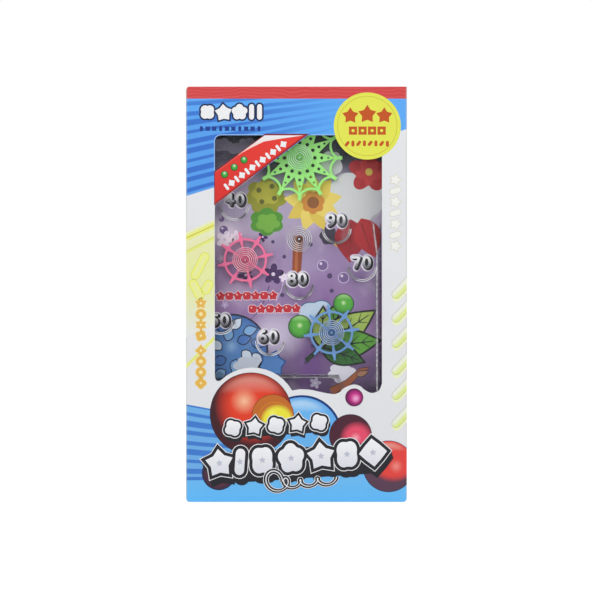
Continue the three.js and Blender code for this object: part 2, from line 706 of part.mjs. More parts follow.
// Waisted pull knob.
function plungerKnob() {
  const profile = [
    [0, KNOB_BOTTOM],
    [KNOB_RADIUS * (3 / 4), KNOB_BOTTOM],
    [KNOB_RADIUS, KNOB_BOTTOM + KNOB_LENGTH / 6],
    [KNOB_RADIUS, KNOB_BOTTOM + KNOB_LENGTH / 3],
    [KNOB_NECK_RADIUS, KNOB_BOTTOM + (2 * KNOB_LENGTH) / 3],
    [KNOB_NECK_RADIUS, KNOB_TOP],
    [0, KNOB_TOP],
  ];
  const body = turned(profile, LANE_X, PLUNGER_Y);
  return cut(body, [rodSocket(KNOB_TOP - KNOB_SOCKET, KNOB_TOP + OVERRUN)]);
}

// Flanged tip that the spring pushes on and that strikes the ball.
function plungerStriker() {
  const flangeTop = STRIKER_BOTTOM + STRIKER_FLANGE;
  const profile = [
    [0, STRIKER_BOTTOM],
    [STRIKER_FLANGE_RADIUS, STRIKER_BOTTOM],
    [STRIKER_FLANGE_RADIUS, flangeTop],
    [STRIKER_RADIUS, flangeTop],
    [STRIKER_RADIUS, STRIKER_TOP - STRIKER_HEAD / 4],
    [STRIKER_RADIUS * (2 / 3), STRIKER_TOP],
    [0, STRIKER_TOP],
  ];
  const body = turned(profile, LANE_X, PLUNGER_Y);
  return cut(body, [rodSocket(STRIKER_BOTTOM - OVERRUN, STRIKER_BOTTOM + STRIKER_SOCKET)]);
}

// Coil spring as one unbroken wire.
class CoilCurve extends THREE.Curve {
  getPoint(share, target = new THREE.Vector3()) {
    const angle = share * SPRING_TURNS * TURN;
    const bottom = SPRING_BOTTOM + SPRING_WIRE / 2;
    const rise = SPRING_TOP - SPRING_BOTTOM - SPRING_WIRE;
    return target.set(SPRING_RADIUS * Math.cos(angle), SPRING_RADIUS * Math.sin(angle), bottom + share * rise);
  }
}

const WIRE_SIDES = 5;
const STEPS_PER_TURN = 10;

function plungerSpring() {
  const curve = new CoilCurve();
  const steps = SPRING_TURNS * STEPS_PER_TURN;
  const pitch = (SPRING_TOP - SPRING_BOTTOM - SPRING_WIRE) / SPRING_TURNS;
  console.log("spring's least gap between turns:", (pitch - SPRING_WIRE).toFixed(2), "mm");
  const positions = [];
  const indices = [];
  for (let i = 0; i <= steps; i++) {
    const centre = curve.getPoint(i / steps);
    const outward = new THREE.Vector3(centre.x, centre.y, 0).normalize();
    const upward = new THREE.Vector3(0, 0, 1);
    for (let side = 0; side < WIRE_SIDES; side++) {
      const angle = (side / WIRE_SIDES) * TURN;
      const point = centre
        .clone()
        .addScaledVector(outward, (SPRING_WIRE / 2) * Math.cos(angle))
        .addScaledVector(upward, (SPRING_WIRE / 2) * Math.sin(angle));
      positions.push(point.x, point.y, point.z);
    }
  }
  for (let i = 0; i < steps; i++) {
    for (let side = 0; side < WIRE_SIDES; side++) {
      const next = (side + 1) % WIRE_SIDES;
      const a = i * WIRE_SIDES + side;
      const b = i * WIRE_SIDES + next;
      indices.push(a, a + WIRE_SIDES, b, b, a + WIRE_SIDES, b + WIRE_SIDES);
    }
  }
  const last = steps * WIRE_SIDES;
  for (let side = 1; side < WIRE_SIDES - 1; side++) {
    indices.push(0, side, side + 1);
    indices.push(last, last + side + 1, last + side);
  }
  const geometry = new THREE.BufferGeometry();
  geometry.setAttribute("position", new THREE.Float32BufferAttribute(positions, 3));
  geometry.setIndex(indices);
  return solidOf(geometry.translate(LANE_X, PLUNGER_Y, 0));
}

function ballAt(x, z) {
  const geometry = new THREE.SphereGeometry(BALL_DIAMETER / 2, SMALL_ROUND_STEPS, SMALL_ROUND_STEPS - ARC_STEPS);
  return solidOf(geometry.translate(x, PLUNGER_Y, z));
}

// Places of the balls that wait on the ramp, from the lane's mouth upward.
function queuedBallPlaces() {
  const slope = Math.atan2(RAMP_RISE, DIVIDER_LEFT + ARENA_HALF + ARENA_WALL / 2);
  const lift = BALL_DIAMETER / 2 + BALL_GAP;
  const spacing = BALL_DIAMETER + BALL_GAP;
  const foot = [DIVIDER_LEFT + lift * Math.sin(slope), RAMP_EDGE_Z + lift * Math.cos(slope)];
  const fromBall = [foot[0] - LANE_X, foot[1] - LAUNCH_BALL_Z];
  const along = fromBall[1] * Math.sin(slope) - fromBall[0] * Math.cos(slope);
  const apart = fromBall[0] ** 2 + fromBall[1] ** 2 - (spacing + BALL_GAP) ** 2;
  const start = Math.sqrt(Math.max(along ** 2 - apart, 0)) - along;
  return Array.from({ length: QUEUED_BALLS }, (_, i) => {
    const distance = Math.max(start, 0) + i * spacing;
    return [foot[0] - distance * Math.cos(slope), foot[1] + distance * Math.sin(slope)];
  });
}

// The carton's front silhouette, with the three corners that handling has rounded.
function cartonSilhouette() {
  const half = CARTON_WIDTH / 2;
  const round = CRUSHED_CORNER;
  const shape = new THREE.Shape();
  shape.moveTo(-half + round, 0);
  shape.lineTo(half - round, 0);
  shape.absarc(half - round, round, round, -QUARTER, 0, false);
  shape.lineTo(half, CARTON_HEIGHT);
  shape.lineTo(-half + round, CARTON_HEIGHT);
  shape.absarc(-half + round, CARTON_HEIGHT - round, round, QUARTER, Math.PI, false);
  shape.lineTo(-half, round);
  shape.absarc(-half + round, round, round, Math.PI, 3 * QUARTER, false);
  return shape;
}

const WINDOW_LEFT = -CARTON_WIDTH / 2 + WINDOW_LEFT_MARGIN;
const WINDOW_RIGHT = CARTON_WIDTH / 2 - WINDOW_RIGHT_MARGIN;
const WINDOW_TOP = CARTON_HEIGHT - WINDOW_TOP_MARGIN;
const WINDOW_WIDTH = WINDOW_RIGHT - WINDOW_LEFT;
const ROUNDEL_X = CARTON_WIDTH / 2 - ROUNDEL_SIDE_MARGIN;
const ROUNDEL_Z = CARTON_HEIGHT - ROUNDEL_TOP_MARGIN;

// Small window in the corner above the slanting band.
function cornerWindow() {
  const path = new THREE.Path();
  path.moveTo(WINDOW_LEFT, WINDOW_TOP - BAND_UPPER_DROP);
  path.lineTo(WINDOW_LEFT, WINDOW_TOP - WINDOW_CORNER);
  path.absarc(WINDOW_LEFT + WINDOW_CORNER, WINDOW_TOP - WINDOW_CORNER, WINDOW_CORNER, Math.PI, QUARTER, true);
  path.lineTo(WINDOW_LEFT + WINDOW_WIDTH * BAND_UPPER_RUN_SHARE, WINDOW_TOP);
  path.closePath();
  return path;
}

// Main window: below the band, round the roundel, and down to the wavy sill over the printed balls.
function mainWindow() {
  const path = new THREE.Path();
  const besideRoundel = Math.sqrt(ROUNDEL_RADIUS ** 2 - (ROUNDEL_Z - WINDOW_TOP) ** 2);
  const underRoundel = Math.sqrt(ROUNDEL_RADIUS ** 2 - (WINDOW_RIGHT - ROUNDEL_X) ** 2);
  path.moveTo(WINDOW_LEFT, WINDOW_TOP - BAND_LOWER_DROP);
  path.lineTo(WINDOW_LEFT + WINDOW_WIDTH * BAND_LOWER_RUN_SHARE, WINDOW_TOP);
  path.lineTo(ROUNDEL_X - besideRoundel, WINDOW_TOP);
  const startAngle = Math.atan2(WINDOW_TOP - ROUNDEL_Z, -besideRoundel);
  const endAngle = Math.atan2(-underRoundel, WINDOW_RIGHT - ROUNDEL_X);
  path.absarc(ROUNDEL_X, ROUNDEL_Z, ROUNDEL_RADIUS, startAngle, endAngle, false);
  path.lineTo(WINDOW_RIGHT, SILL_HEIGHT + SILL_WAVE);
  const sill = SILL_SHARES.map(
    ([across, up]) => new THREE.Vector2(WINDOW_LEFT + across * WINDOW_WIDTH, SILL_HEIGHT + up * SILL_WAVE),
  );
  path.splineThru(sill);
  const ballX = WINDOW_LEFT + WINDOW_WIDTH * BIG_BALL_ACROSS_SHARE;
  const ballRadius = WINDOW_WIDTH * BIG_BALL_RADIUS_SHARE;
  const meetAngle = Math.asin((SILL_HEIGHT + SILL_WAVE / 3 - BIG_BALL_HEIGHT) / ballRadius);
  const leaveX = WINDOW_LEFT + WINDOW_CORNER - ballX;
  const leaveAngle = Math.acos(leaveX / ballRadius);
  path.absarc(ballX, BIG_BALL_HEIGHT, ballRadius, meetAngle, leaveAngle, false);
  const cornerZ = BIG_BALL_HEIGHT + ballRadius * Math.sin(leaveAngle);
  path.quadraticCurveTo(WINDOW_LEFT, cornerZ - WINDOW_CORNER / 2, WINDOW_LEFT, cornerZ + WINDOW_CORNER);
  path.closePath();
  return path;
}

function trimmedToSilhouette(solid) {
  const prism = slab(cartonSilhouette(), CARTON_BACK_Y + OVERRUN, CARTON_FRONT_Y - OVERRUN);
  return solid.intersect(prism);
}

// A plan-view shape (x across, y back) made solid between two heights.
function column(shape, bottom, top) {
  const geometry = new THREE.ExtrudeGeometry(shape, {
    depth: top - bottom,
    bevelEnabled: false,
    curveSegments: FOLD_STEPS,
  });
  return solidOf(geometry.translate(0, 0, bottom));
}

function foldedPlan(inset) {
  const x = CARTON_WIDTH / 2 - inset;
  const y = CARTON_DEPTH / 2 - inset;
  const radius = FOLD_RADIUS - (inset * FOLD_RADIUS) / (FOLD_RADIUS + BOARD);
  const shape = new THREE.Shape();
  shape.absarc(x - radius, y - radius, radius, 0, QUARTER, false);
  shape.absarc(-x + radius, y - radius, radius, QUARTER, Math.PI, false);
  shape.absarc(-x + radius, -y + radius, radius, Math.PI, 3 * QUARTER, false);
  shape.absarc(x - radius, -y + radius, radius, 3 * QUARTER, TURN, false);
  return shape;
}

// Heights of the layers at the carton's top end
const LID_UNDERSIDE = CARTON_HEIGHT - BOARD;
const TOP_FLAP_TOP = LID_UNDERSIDE - FLAP_GAP;
const TOP_FLAP_UNDERSIDE = TOP_FLAP_TOP - BOARD;
const FLAP_INSET = BOARD + FLAP_GAP;
const LID_FRONT_Y = CARTON_FRONT_Y + BOARD + FLAP_GAP;

// Sleeve of the carton: four walls folded from one sheet, with the window cut in the front.
function sleeve() {
  const windowBand = (path) =>
    slab(new THREE.Shape(path.getPoints(WINDOW_STEPS)), CARTON_FRONT_Y + BOARD + OVERRUN, CARTON_FRONT_Y - OVERRUN);
  const half = CARTON_WIDTH / 2;
  const sideTop = TOP_FLAP_UNDERSIDE - FLAP_GAP;
  const cutTop = CARTON_HEIGHT + OVERRUN;
  const sideCuts = [-1, 1].map((side) => {
    const ends = [side * (half - BOARD - OVERRUN), side * (half + OVERRUN)].sort((a, b) => a - b);
    return box(ends[0], ends[1], CARTON_BACK_Y + OVERRUN, LID_FRONT_Y, sideTop, cutTop);
  });
  const backCut = box(
    -half - OVERRUN,
    half + OVERRUN,
    CARTON_BACK_Y + OVERRUN,
    CARTON_BACK_Y - BOARD - OVERRUN,
    TOP_FLAP_TOP,
    cutTop,
  );
  const tube = column(foldedPlan(0), 0, CARTON_HEIGHT).subtract(column(foldedPlan(BOARD), -OVERRUN, cutTop));
  return cut(trimmedToSilhouette(tube), [
    windowBand(cornerWindow()),
    windowBand(mainWindow()),
    ...sideCuts,
    backCut,
  ]);
}

// Strip along the left back edge that the tube is glued by.
function glueFlap() {
  const left = -CARTON_WIDTH / 2 + Math.max(BOARD, FOLD_RADIUS) + BOARD_GAP;
  const back = CARTON_BACK_Y - BOARD - BOARD_GAP;
  const shape = new THREE.Shape();
  shape.moveTo(left, BOTTOM_ROOM);
  shape.lineTo(left + GLUE_FLAP, BOTTOM_ROOM + GLUE_FLAP / 2);
  shape.lineTo(left + GLUE_FLAP, GAME_TOP - GLUE_FLAP / 2);
  shape.lineTo(left, GAME_TOP);
  return slab(shape, back, back - BOARD);
}

// A side-view outline of [y, z] pairs made solid between two places in x.
function crossways(outline, left, right) {
  const shape = new THREE.Shape(outline.map(([y, z]) => new THREE.Vector2(y, z)));
  const geometry = new THREE.ExtrudeGeometry(shape, { depth: right - left, bevelEnabled: false });
  const turnUp = new THREE.Matrix4().makeBasis(
    new THREE.Vector3(0, 1, 0),
    new THREE.Vector3(0, 0, 1),
    new THREE.Vector3(1, 0, 0),
  );
  return solidOf(geometry.applyMatrix4(turnUp).translate(left, 0, 0));
}

// What a round corner takes off a tongue's lower end.
function cornerCutter(side, tipX, tipZ) {
  const shape = new THREE.Shape();
  const out = tipX + side * OVERRUN;
  const centreX = tipX - side * TONGUE_CORNER;
  const centreZ = tipZ + TONGUE_CORNER;
  shape.moveTo(tipX, centreZ);
  shape.absarc(centreX, centreZ, TONGUE_CORNER, side > 0 ? 0 : Math.PI, -QUARTER, side > 0);
  shape.lineTo(centreX, tipZ - OVERRUN);
  shape.lineTo(out, tipZ - OVERRUN);
  shape.lineTo(out, centreZ);
  const points = shape.getPoints(ARC_STEPS);
  return slab(new THREE.Shape(side > 0 ? points.reverse() : points), CARTON_BACK_Y, CARTON_FRONT_Y);
}

// Top lid with its tuck tongue, folded inward so that it clears the front panel as the lid lifts.
function lid() {
  const halfWidth = CARTON_WIDTH / 2 - FLAP_INSET;
  const foldY = LID_FRONT_Y + BOARD;
  const down = [Math.sin(TONGUE_SLANT), -Math.cos(TONGUE_SLANT)];
  const outward = [-Math.cos(TONGUE_SLANT), -Math.sin(TONGUE_SLANT)];
  const tip = [foldY + TONGUE * down[0], LID_UNDERSIDE + TONGUE * down[1]];
  const outline = [
    [CARTON_BACK_Y, LID_UNDERSIDE],
    [CARTON_BACK_Y, CARTON_HEIGHT],
  ];
  for (let i = 0; i <= FOLD_STEPS; i++) {
    const angle = QUARTER + (i / FOLD_STEPS) * (QUARTER + TONGUE_SLANT);
    outline.push([foldY + BOARD * Math.cos(angle), LID_UNDERSIDE + BOARD * Math.sin(angle)]);
  }
  outline.push([tip[0] + BOARD * outward[0], tip[1] + BOARD * outward[1]]);
  outline.push(tip);
  outline.push([foldY, LID_UNDERSIDE]);
  const sheet = crossways(outline, -halfWidth, halfWidth);
  const tongueHalf = halfWidth - TONGUE_SHOULDER;
  const lowest = tip[1] + BOARD * outward[1];
  const shoulders = [-1, 1].map((side) => {
    const ends = [side * tongueHalf, side * (halfWidth + OVERRUN)].sort((a, b) => a - b);
    return box(ends[0], ends[1], foldY + TONGUE, CARTON_FRONT_Y - OVERRUN, lowest - OVERRUN, TOP_FLAP_TOP);
  });
  const corners = [-1, 1].map((side) => cornerCutter(side, side * tongueHalf, lowest));
  return cut(sheet, [...shoulders, ...corners]);
}

// A small flap from a side wall, tapered at both edges so that the lid and its tongue pass it.
function dustFlap(side, bottom, backY, frontY) {
  const root = side * (CARTON_WIDTH / 2 - FLAP_INSET);
  const tip = root - side * DUST_FLAP;
  const shape = new THREE.Shape();
  shape.moveTo(root, backY);
  shape.lineTo(tip, backY - DUST_FLAP * DUST_FLAP_BACK_TAPER_SHARE);
  shape.lineTo(tip, frontY + DUST_FLAP * DUST_FLAP_FRONT_TAPER_SHARE);
  shape.lineTo(root, frontY);
  const points = shape.getPoints();
  return column(new THREE.Shape(side > 0 ? points : points.reverse()), bottom, bottom + BOARD);
}

function topDustFlap(side) {
  const reach = CARTON_BACK_Y - LID_FRONT_Y - BOARD;
  const back = CARTON_BACK_Y - BOARD - 2 * FLAP_GAP;
  const front = CARTON_BACK_Y - reach * Math.cos(TONGUE_SLANT) + TONGUE_SWEEP_ROOM;
  return dustFlap(side, TOP_FLAP_UNDERSIDE, back, front);
}

function bottomDustFlap(side) {
  const back = CARTON_BACK_Y - BOARD - BOARD_GAP;
  const front = CARTON_FRONT_Y + BOARD + BOARD_GAP;
  return dustFlap(side, 2 * BOARD + 2 * BOARD_GAP, back, front);
}

// A glued panel that closes the bottom end.
function bottomPanel(bottom) {
  const x = CARTON_WIDTH / 2 - FLAP_INSET;
  const y = CARTON_DEPTH / 2 - FLAP_INSET;
  return trimmedToSilhouette(box(-x, x, y, -y, bottom, bottom + BOARD));
}

// Looks
const PRINTED_BOARD = { color: 0xe6e8ea, roughness: 0.35, metalness: 0 };
const BARE_BOARD = { color: 0xcfcac0, roughness: 0.8, metalness: 0 };
const CASE_PLASTIC = { color: 0x7d6aa8, roughness: 0.4, metalness: 0 };
const DECK_PLASTIC = { color: 0xd8d8dc, roughness: 0.5, metalness: 0 };
const PRINTED_CARD = { color: 0xa58fb8, roughness: 0.45, metalness: 0 };
const CLEAR_PLASTIC = { color: 0xf2f6f8, roughness: 0.08, metalness: 0, transparent: true, opacity: 0.3 };
const GREEN_PLASTIC = { color: 0x86c97e, roughness: 0.25, metalness: 0, transparent: true, opacity: 0.85 };
const PINK_PLASTIC = { color: 0xeb7896, roughness: 0.25, metalness: 0, transparent: true, opacity: 0.8 };
const BLUE_PLASTIC = { color: 0x3f7fc4, roughness: 0.25, metalness: 0, transparent: true, opacity: 0.8 };
const BRIGHT_STEEL = { color: 0xd9dadd, roughness: 0.12, metalness: 1 };
const DULL_STEEL = { color: 0x9a9ca0, roughness: 0.4, metalness: 1 };
const KNOB_PLASTIC = { color: 0xd24749, roughness: 0.35, metalness: 0 };

function piece(name, solid, look) {
  const mesh = new THREE.Mesh(geometryOf(solid), new THREE.MeshStandardMaterial(look));
  mesh.name = name;
  return mesh;
}

function groupOf(meshes) {
  const group = new THREE.Group();
  group.add(...meshes);
  return group;
}

const carton = groupOf([
  piece("carton_sleeve", sleeve(), PRINTED_BOARD),
  piece("carton_glue_flap", glueFlap(), BARE_BOARD),
  piece("carton_lid", lid(), PRINTED_BOARD),
  piece("top_dust_flap_left", topDustFlap(-1), PRINTED_BOARD),
  piece("top_dust_flap_right", topDustFlap(1), PRINTED_BOARD),
  piece("bottom_outer_panel", bottomPanel(0), PRINTED_BOARD),
  piece("bottom_inner_panel", bottomPanel(BOARD + BOARD_GAP), BARE_BOARD),
  piece("bottom_dust_flap_left", bottomDustFlap(-1), BARE_BOARD),
  piece("bottom_dust_flap_right", bottomDustFlap(1), BARE_BOARD),
]);

const [STAR_PLACE, PINK_PLACE, BLUE_PLACE] = PIN_PLACES;
const PIN_NAMES = ["star_wheel_pin", "pink_wheel_pin", "blue_wheel_pin", "centre_pin"];
const SCREW_NAMES = ["top_left", "top_right", "middle_left", "middle_right", "bottom_left", "bottom_right"];

const housing = groupOf([
  piece("rear_case", rearCase(), CASE_PLASTIC),
  piece("playfield_deck", playSheet(DECK_BACK, DECK_FRONT), DECK_PLASTIC),
  piece("playfield_card", playSheet(CARD_BACK, CARD_FRONT), PRINTED_CARD),
  piece("clear_cover", clearCover(), CLEAR_PLASTIC),
  ...PIN_PLACES.map((place, i) => piece(PIN_NAMES[i], pivotPin(place), BRIGHT_STEEL)),
  ...SCREW_PLACES.map((place, i) => piece("case_screw_" + SCREW_NAMES[i], caseScrew(place), DULL_STEEL)),
]);

const wheels = groupOf([
  piece("star_wheel", starWheel(STAR_PLACE), GREEN_PLASTIC),
  piece("pink_web_wheel", webWheel(PINK_PLACE, PINK_WEB_TURN), PINK_PLASTIC),
  piece("blue_web_wheel", webWheel(BLUE_PLACE, BLUE_WEB_TURN), BLUE_PLASTIC),
]);

const plunger = groupOf([
  piece("plunger_rod", plungerRod(), BRIGHT_STEEL),
  piece("plunger_knob", plungerKnob(), KNOB_PLASTIC),
  piece("plunger_striker", plungerStriker(), KNOB_PLASTIC),
  piece("plunger_spring", plungerSpring(), BRIGHT_STEEL),
]);

const balls = groupOf([
  piece("launch_ball", ballAt(LANE_X, LAUNCH_BALL_Z), BRIGHT_STEEL),
  ...queuedBallPlaces().map(([x, z], i) => piece("waiting_ball_" + (i + 1), ballAt(x, z), BRIGHT_STEEL)),
]);

const boxedGame = groupOf([carton, housing, wheels, plunger, balls]);
export default boxedGame;
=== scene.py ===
"""Looks of a handheld pinball game in its window carton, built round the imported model.

Every size is in millimetres until a mesh is made, and then in metres, in the model's own frame:
X to the right and Z up for someone who faces the window, which faces -Y.
"""

import logging
import math
from collections.abc import Callable, Sequence
from dataclasses import dataclass
from enum import Enum
from functools import partialmethod
from typing import Any

import bmesh
import bpy
from mathutils import Matrix, Vector
from mathutils.geometry import tessellate_polygon


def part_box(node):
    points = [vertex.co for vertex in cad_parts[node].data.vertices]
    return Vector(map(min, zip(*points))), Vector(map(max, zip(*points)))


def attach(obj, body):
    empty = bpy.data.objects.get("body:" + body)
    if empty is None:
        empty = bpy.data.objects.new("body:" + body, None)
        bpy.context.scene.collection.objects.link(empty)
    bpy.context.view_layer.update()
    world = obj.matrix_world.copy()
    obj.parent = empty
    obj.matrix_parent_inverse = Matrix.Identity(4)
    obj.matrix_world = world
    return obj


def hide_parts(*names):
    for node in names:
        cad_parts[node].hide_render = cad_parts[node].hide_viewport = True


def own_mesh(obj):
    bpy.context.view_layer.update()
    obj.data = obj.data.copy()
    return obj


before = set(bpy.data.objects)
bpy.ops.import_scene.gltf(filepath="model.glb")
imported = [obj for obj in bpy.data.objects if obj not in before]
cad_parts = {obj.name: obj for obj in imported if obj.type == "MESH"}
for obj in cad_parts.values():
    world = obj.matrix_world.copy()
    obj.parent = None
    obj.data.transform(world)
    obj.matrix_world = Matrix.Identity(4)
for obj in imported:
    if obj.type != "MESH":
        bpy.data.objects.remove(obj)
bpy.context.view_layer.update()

MM = 0.001
TURN = 2 * math.pi
PRINT_SHEEN = 0.25
PLASTIC_IOR = 1.49
SHARP = math.radians(32)
LEAST_AREA = 1e-7
LEAST_LENGTH = 1e-6
LEAST_SLANT = 0.45
STROKE_STEP = 0.004
CLEAR_SLOT = "clear_plastic"
STEEL_SLOT = "bright_steel"

Point = tuple[float, float]
Colour = tuple[float, float, float]
Socket = bpy.types.NodeSocket
Material = bpy.types.Material
Mesh = bpy.types.Mesh
Piece = bpy.types.Object

logging.basicConfig(level=logging.INFO, format="%(message)s")
log = logging.getLogger("pinball")


def ink(red: int, green: int, blue: int) -> Colour:
    """A colour as it is seen, 0 to 255, made linear.

    Args:
        red, green, blue: the parts of the colour.

    Returns:
        The linear colour.
    """

    def linear(part: int) -> float:
        """One part made linear."""
        share = part / 255
        return share / 12.92 if share <= 0.04045 else ((share + 0.055) / 1.055) ** 2.4

    return linear(red), linear(green), linear(blue)


def between(first: Colour, second: Colour, share: float) -> Colour:
    """The colour at a share of the way from the first to the second."""
    kept = min(max(share, 0.0), 1.0)
    return tuple(a + (b - a) * kept for a, b in zip(first, second))


class Ink(Enum):
    """Inks of the carton and the playfield card."""

    WHITE = ink(240, 241, 243)
    BLACK = ink(28, 28, 36)
    LIGHT_BLUE = ink(82, 160, 229)
    YELLOW = ink(229, 232, 84)
    YELLOW_LINE = ink(196, 186, 60)
    ORANGE = ink(196, 84, 28)
    LIME_LINE = ink(214, 212, 128)
    GOLD = ink(232, 184, 84)
    PALE_GOLD = ink(250, 232, 168)
    SHADOW_LINE = ink(216, 210, 190)
    LEAF = ink(96, 168, 56)
    DEEP_LEAF = ink(44, 104, 40)
    PALE_LEAF = ink(172, 198, 92)
    FLOWER = ink(226, 198, 84)
    PETAL_RED = ink(178, 38, 44)
    PALE_CLOUD = ink(186, 180, 204)
    PLUM = ink(66, 36, 92)
    LILAC = ink(196, 172, 214)
    SLATE = ink(52, 58, 74)
    BARK = ink(166, 94, 62)


class Body(Enum):
    """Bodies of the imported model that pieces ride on."""

    GAME = "boxed_game"
    STAR = "star"
    PINK_WEB = "pink_web"
    BLUE_WEB = "blue_web"
    PLUNGER = "plunger"
    LAUNCHED = "launched_ball"
    WAITING = "waiting_balls"


Paint = Colour | Callable[[float, float], Colour] | Ink

# ---------------- finishes


class Term:
    """A value of a node tree that sums like a number; each sum is one Math node."""

    def __init__(self, graph: "Graph", socket: Socket) -> None:
        """Holds a socket and the tree that it is in."""
        self.graph, self.socket = graph, socket

    def _sum(self, operation: str, other: "Value" = 0.0) -> "Term":
        """What an operation makes of it and the other."""
        return self.graph.math(operation, self, other)

    def __rsub__(self, other: float) -> "Term":
        """What it leaves of a number."""
        return self.graph.math("SUBTRACT", other, self)

    __add__ = partialmethod(_sum, "ADD")
    __sub__ = partialmethod(_sum, "SUBTRACT")
    __mul__ = partialmethod(_sum, "MULTIPLY")
    __truediv__ = partialmethod(_sum, "DIVIDE")
    __pow__ = partialmethod(_sum, "POWER")
    __lt__ = partialmethod(_sum, "LESS_THAN")
    __gt__ = partialmethod(_sum, "GREATER_THAN")
    __or__ = partialmethod(_sum, "MAXIMUM")
    __abs__ = partialmethod(_sum, "ABSOLUTE")


Value = float | Socket | Term
Tint = Colour | Socket | Term


class Graph:
    """The node tree of a material or of the world, built with few words."""

    def __init__(self, owner: str | bpy.types.World) -> None:
        """Starts an empty tree.

        Args:
            owner: the new material's name, or the world.
        """
        named = isinstance(owner, str)
        self.owner = bpy.data.materials.new(owner) if named else owner
        self.owner.use_nodes = True
        self.tree = self.owner.node_tree
        self.tree.nodes.clear()
        self.output = self.add("OutputMaterial" if named else "OutputWorld")

    def add(self, kind: str, inputs: dict[int | str, Any] | None = None, **settings: Any) -> bpy.types.Node:
        """Adds one node.

        Args:
            kind: the node's type without ShaderNode.
            inputs: values or sockets by the input's name or place.
            settings: the node's own settings.

        Returns:
            The node.
        """
        made = self.tree.nodes.new("ShaderNode" + kind)
        for key, value in settings.items():
            setattr(made, key, value)
        for key, given in (inputs or {}).items():
            value = given.socket if isinstance(given, Term) else given
            if isinstance(value, Socket):
                self.tree.links.new(value, made.inputs[key])
            else:
                made.inputs[key].default_value = value
        return made

    def math(self, operation: str, first: Value, second: Value = 0.0, clamp: bool = False) -> Term:
        """One sum of two values.

        Args:
            operation: the Math node's operation.
            first, second: numbers or sockets.
            clamp: whether the result stays from 0 to 1.

        Returns:
            The result.
        """
        node = self.add("Math", {0: first, 1: second}, operation=operation, use_clamp=clamp)
        return Term(self, node.outputs[0])

    def mix(self, share: Value, first: Tint, second: Tint) -> Term:
        """Two colours mixed.

        Args:
            share: how much of the second there is.
            first, second: colours or sockets.

        Returns:
            The mixed colour.
        """
        sides = [(*side, 1.0) if isinstance(side, tuple) else side for side in (first, second)]
        node = self.add("Mix", {0: share, 6: sides[0], 7: sides[1]}, data_type="RGBA")
        return Term(self, node.outputs[2])

    def span(self, value: Value, low: float, high: float) -> Term:
        """How far a value is from low to high, as a share from 0 to 1 that eases in and out.

        Args:
            value: the value.
            low, high: where the share is 0 and 1.

        Returns:
            The share.
        """
        ends = {1: high, 2: low, 3: 1.0, 4: 0.0} if low > high else {1: low, 2: high}
        node = self.add("MapRange", {0: value, **ends}, interpolation_type="SMOOTHSTEP")
        return Term(self, node.outputs[0])

    def place(self) -> tuple[Term, ...]:
        """The point on the surface in millimetres: as a vector, and its x, y and z."""
        spot = self.add("TexCoord").outputs["Object"]
        scaled = self.add("VectorMath", {0: spot, "Scale": 1 / MM}, operation="SCALE").outputs[0]
        parts = self.add("SeparateXYZ", {0: scaled}).outputs
        return tuple(Term(self, socket) for socket in (scaled, *parts))

    def normal(self) -> tuple[Term, ...]:
        """The x, y and z of the direction that the surface faces."""
        facing = self.add("NewGeometry").outputs["Normal"]
        parts = self.add("SeparateXYZ", {0: facing}).outputs
        return tuple(Term(self, socket) for socket in parts)

    def noise(self, spot: Value, scale: float, detail: float = 3.0) -> Term:
        """Soft noise from 0 to 1 at a number of cells to the millimetre."""
        node = self.add("TexNoise", {"Vector": spot, "Scale": scale, "Detail": detail})
        return Term(self, node.outputs[0])

    def bump(self, height: Term, depth: float, strength: float = 0.5) -> Term:
        """A bumped normal from a height, with its depth in millimetres."""
        sockets = {"Height": height, "Distance": depth * MM, "Strength": strength}
        return Term(self, self.add("Bump", sockets).outputs[0])

    def finish(self, **shader: Any) -> Material:
        """Ends the tree in one Principled shader.

        Args:
            shader: values or sockets by the input's name, with _ for a space.

        Returns:
            The material.
        """
        named = {key.replace("_", " "): value for key, value in shader.items()}
        for key, value in named.items():
            if isinstance(value, tuple) and len(value) == 3:
                named[key] = (*value, 1.0)
        node = self.add("BsdfPrincipled", named)
        self.tree.links.new(node.outputs[0], self.output.inputs[0])
        return self.owner


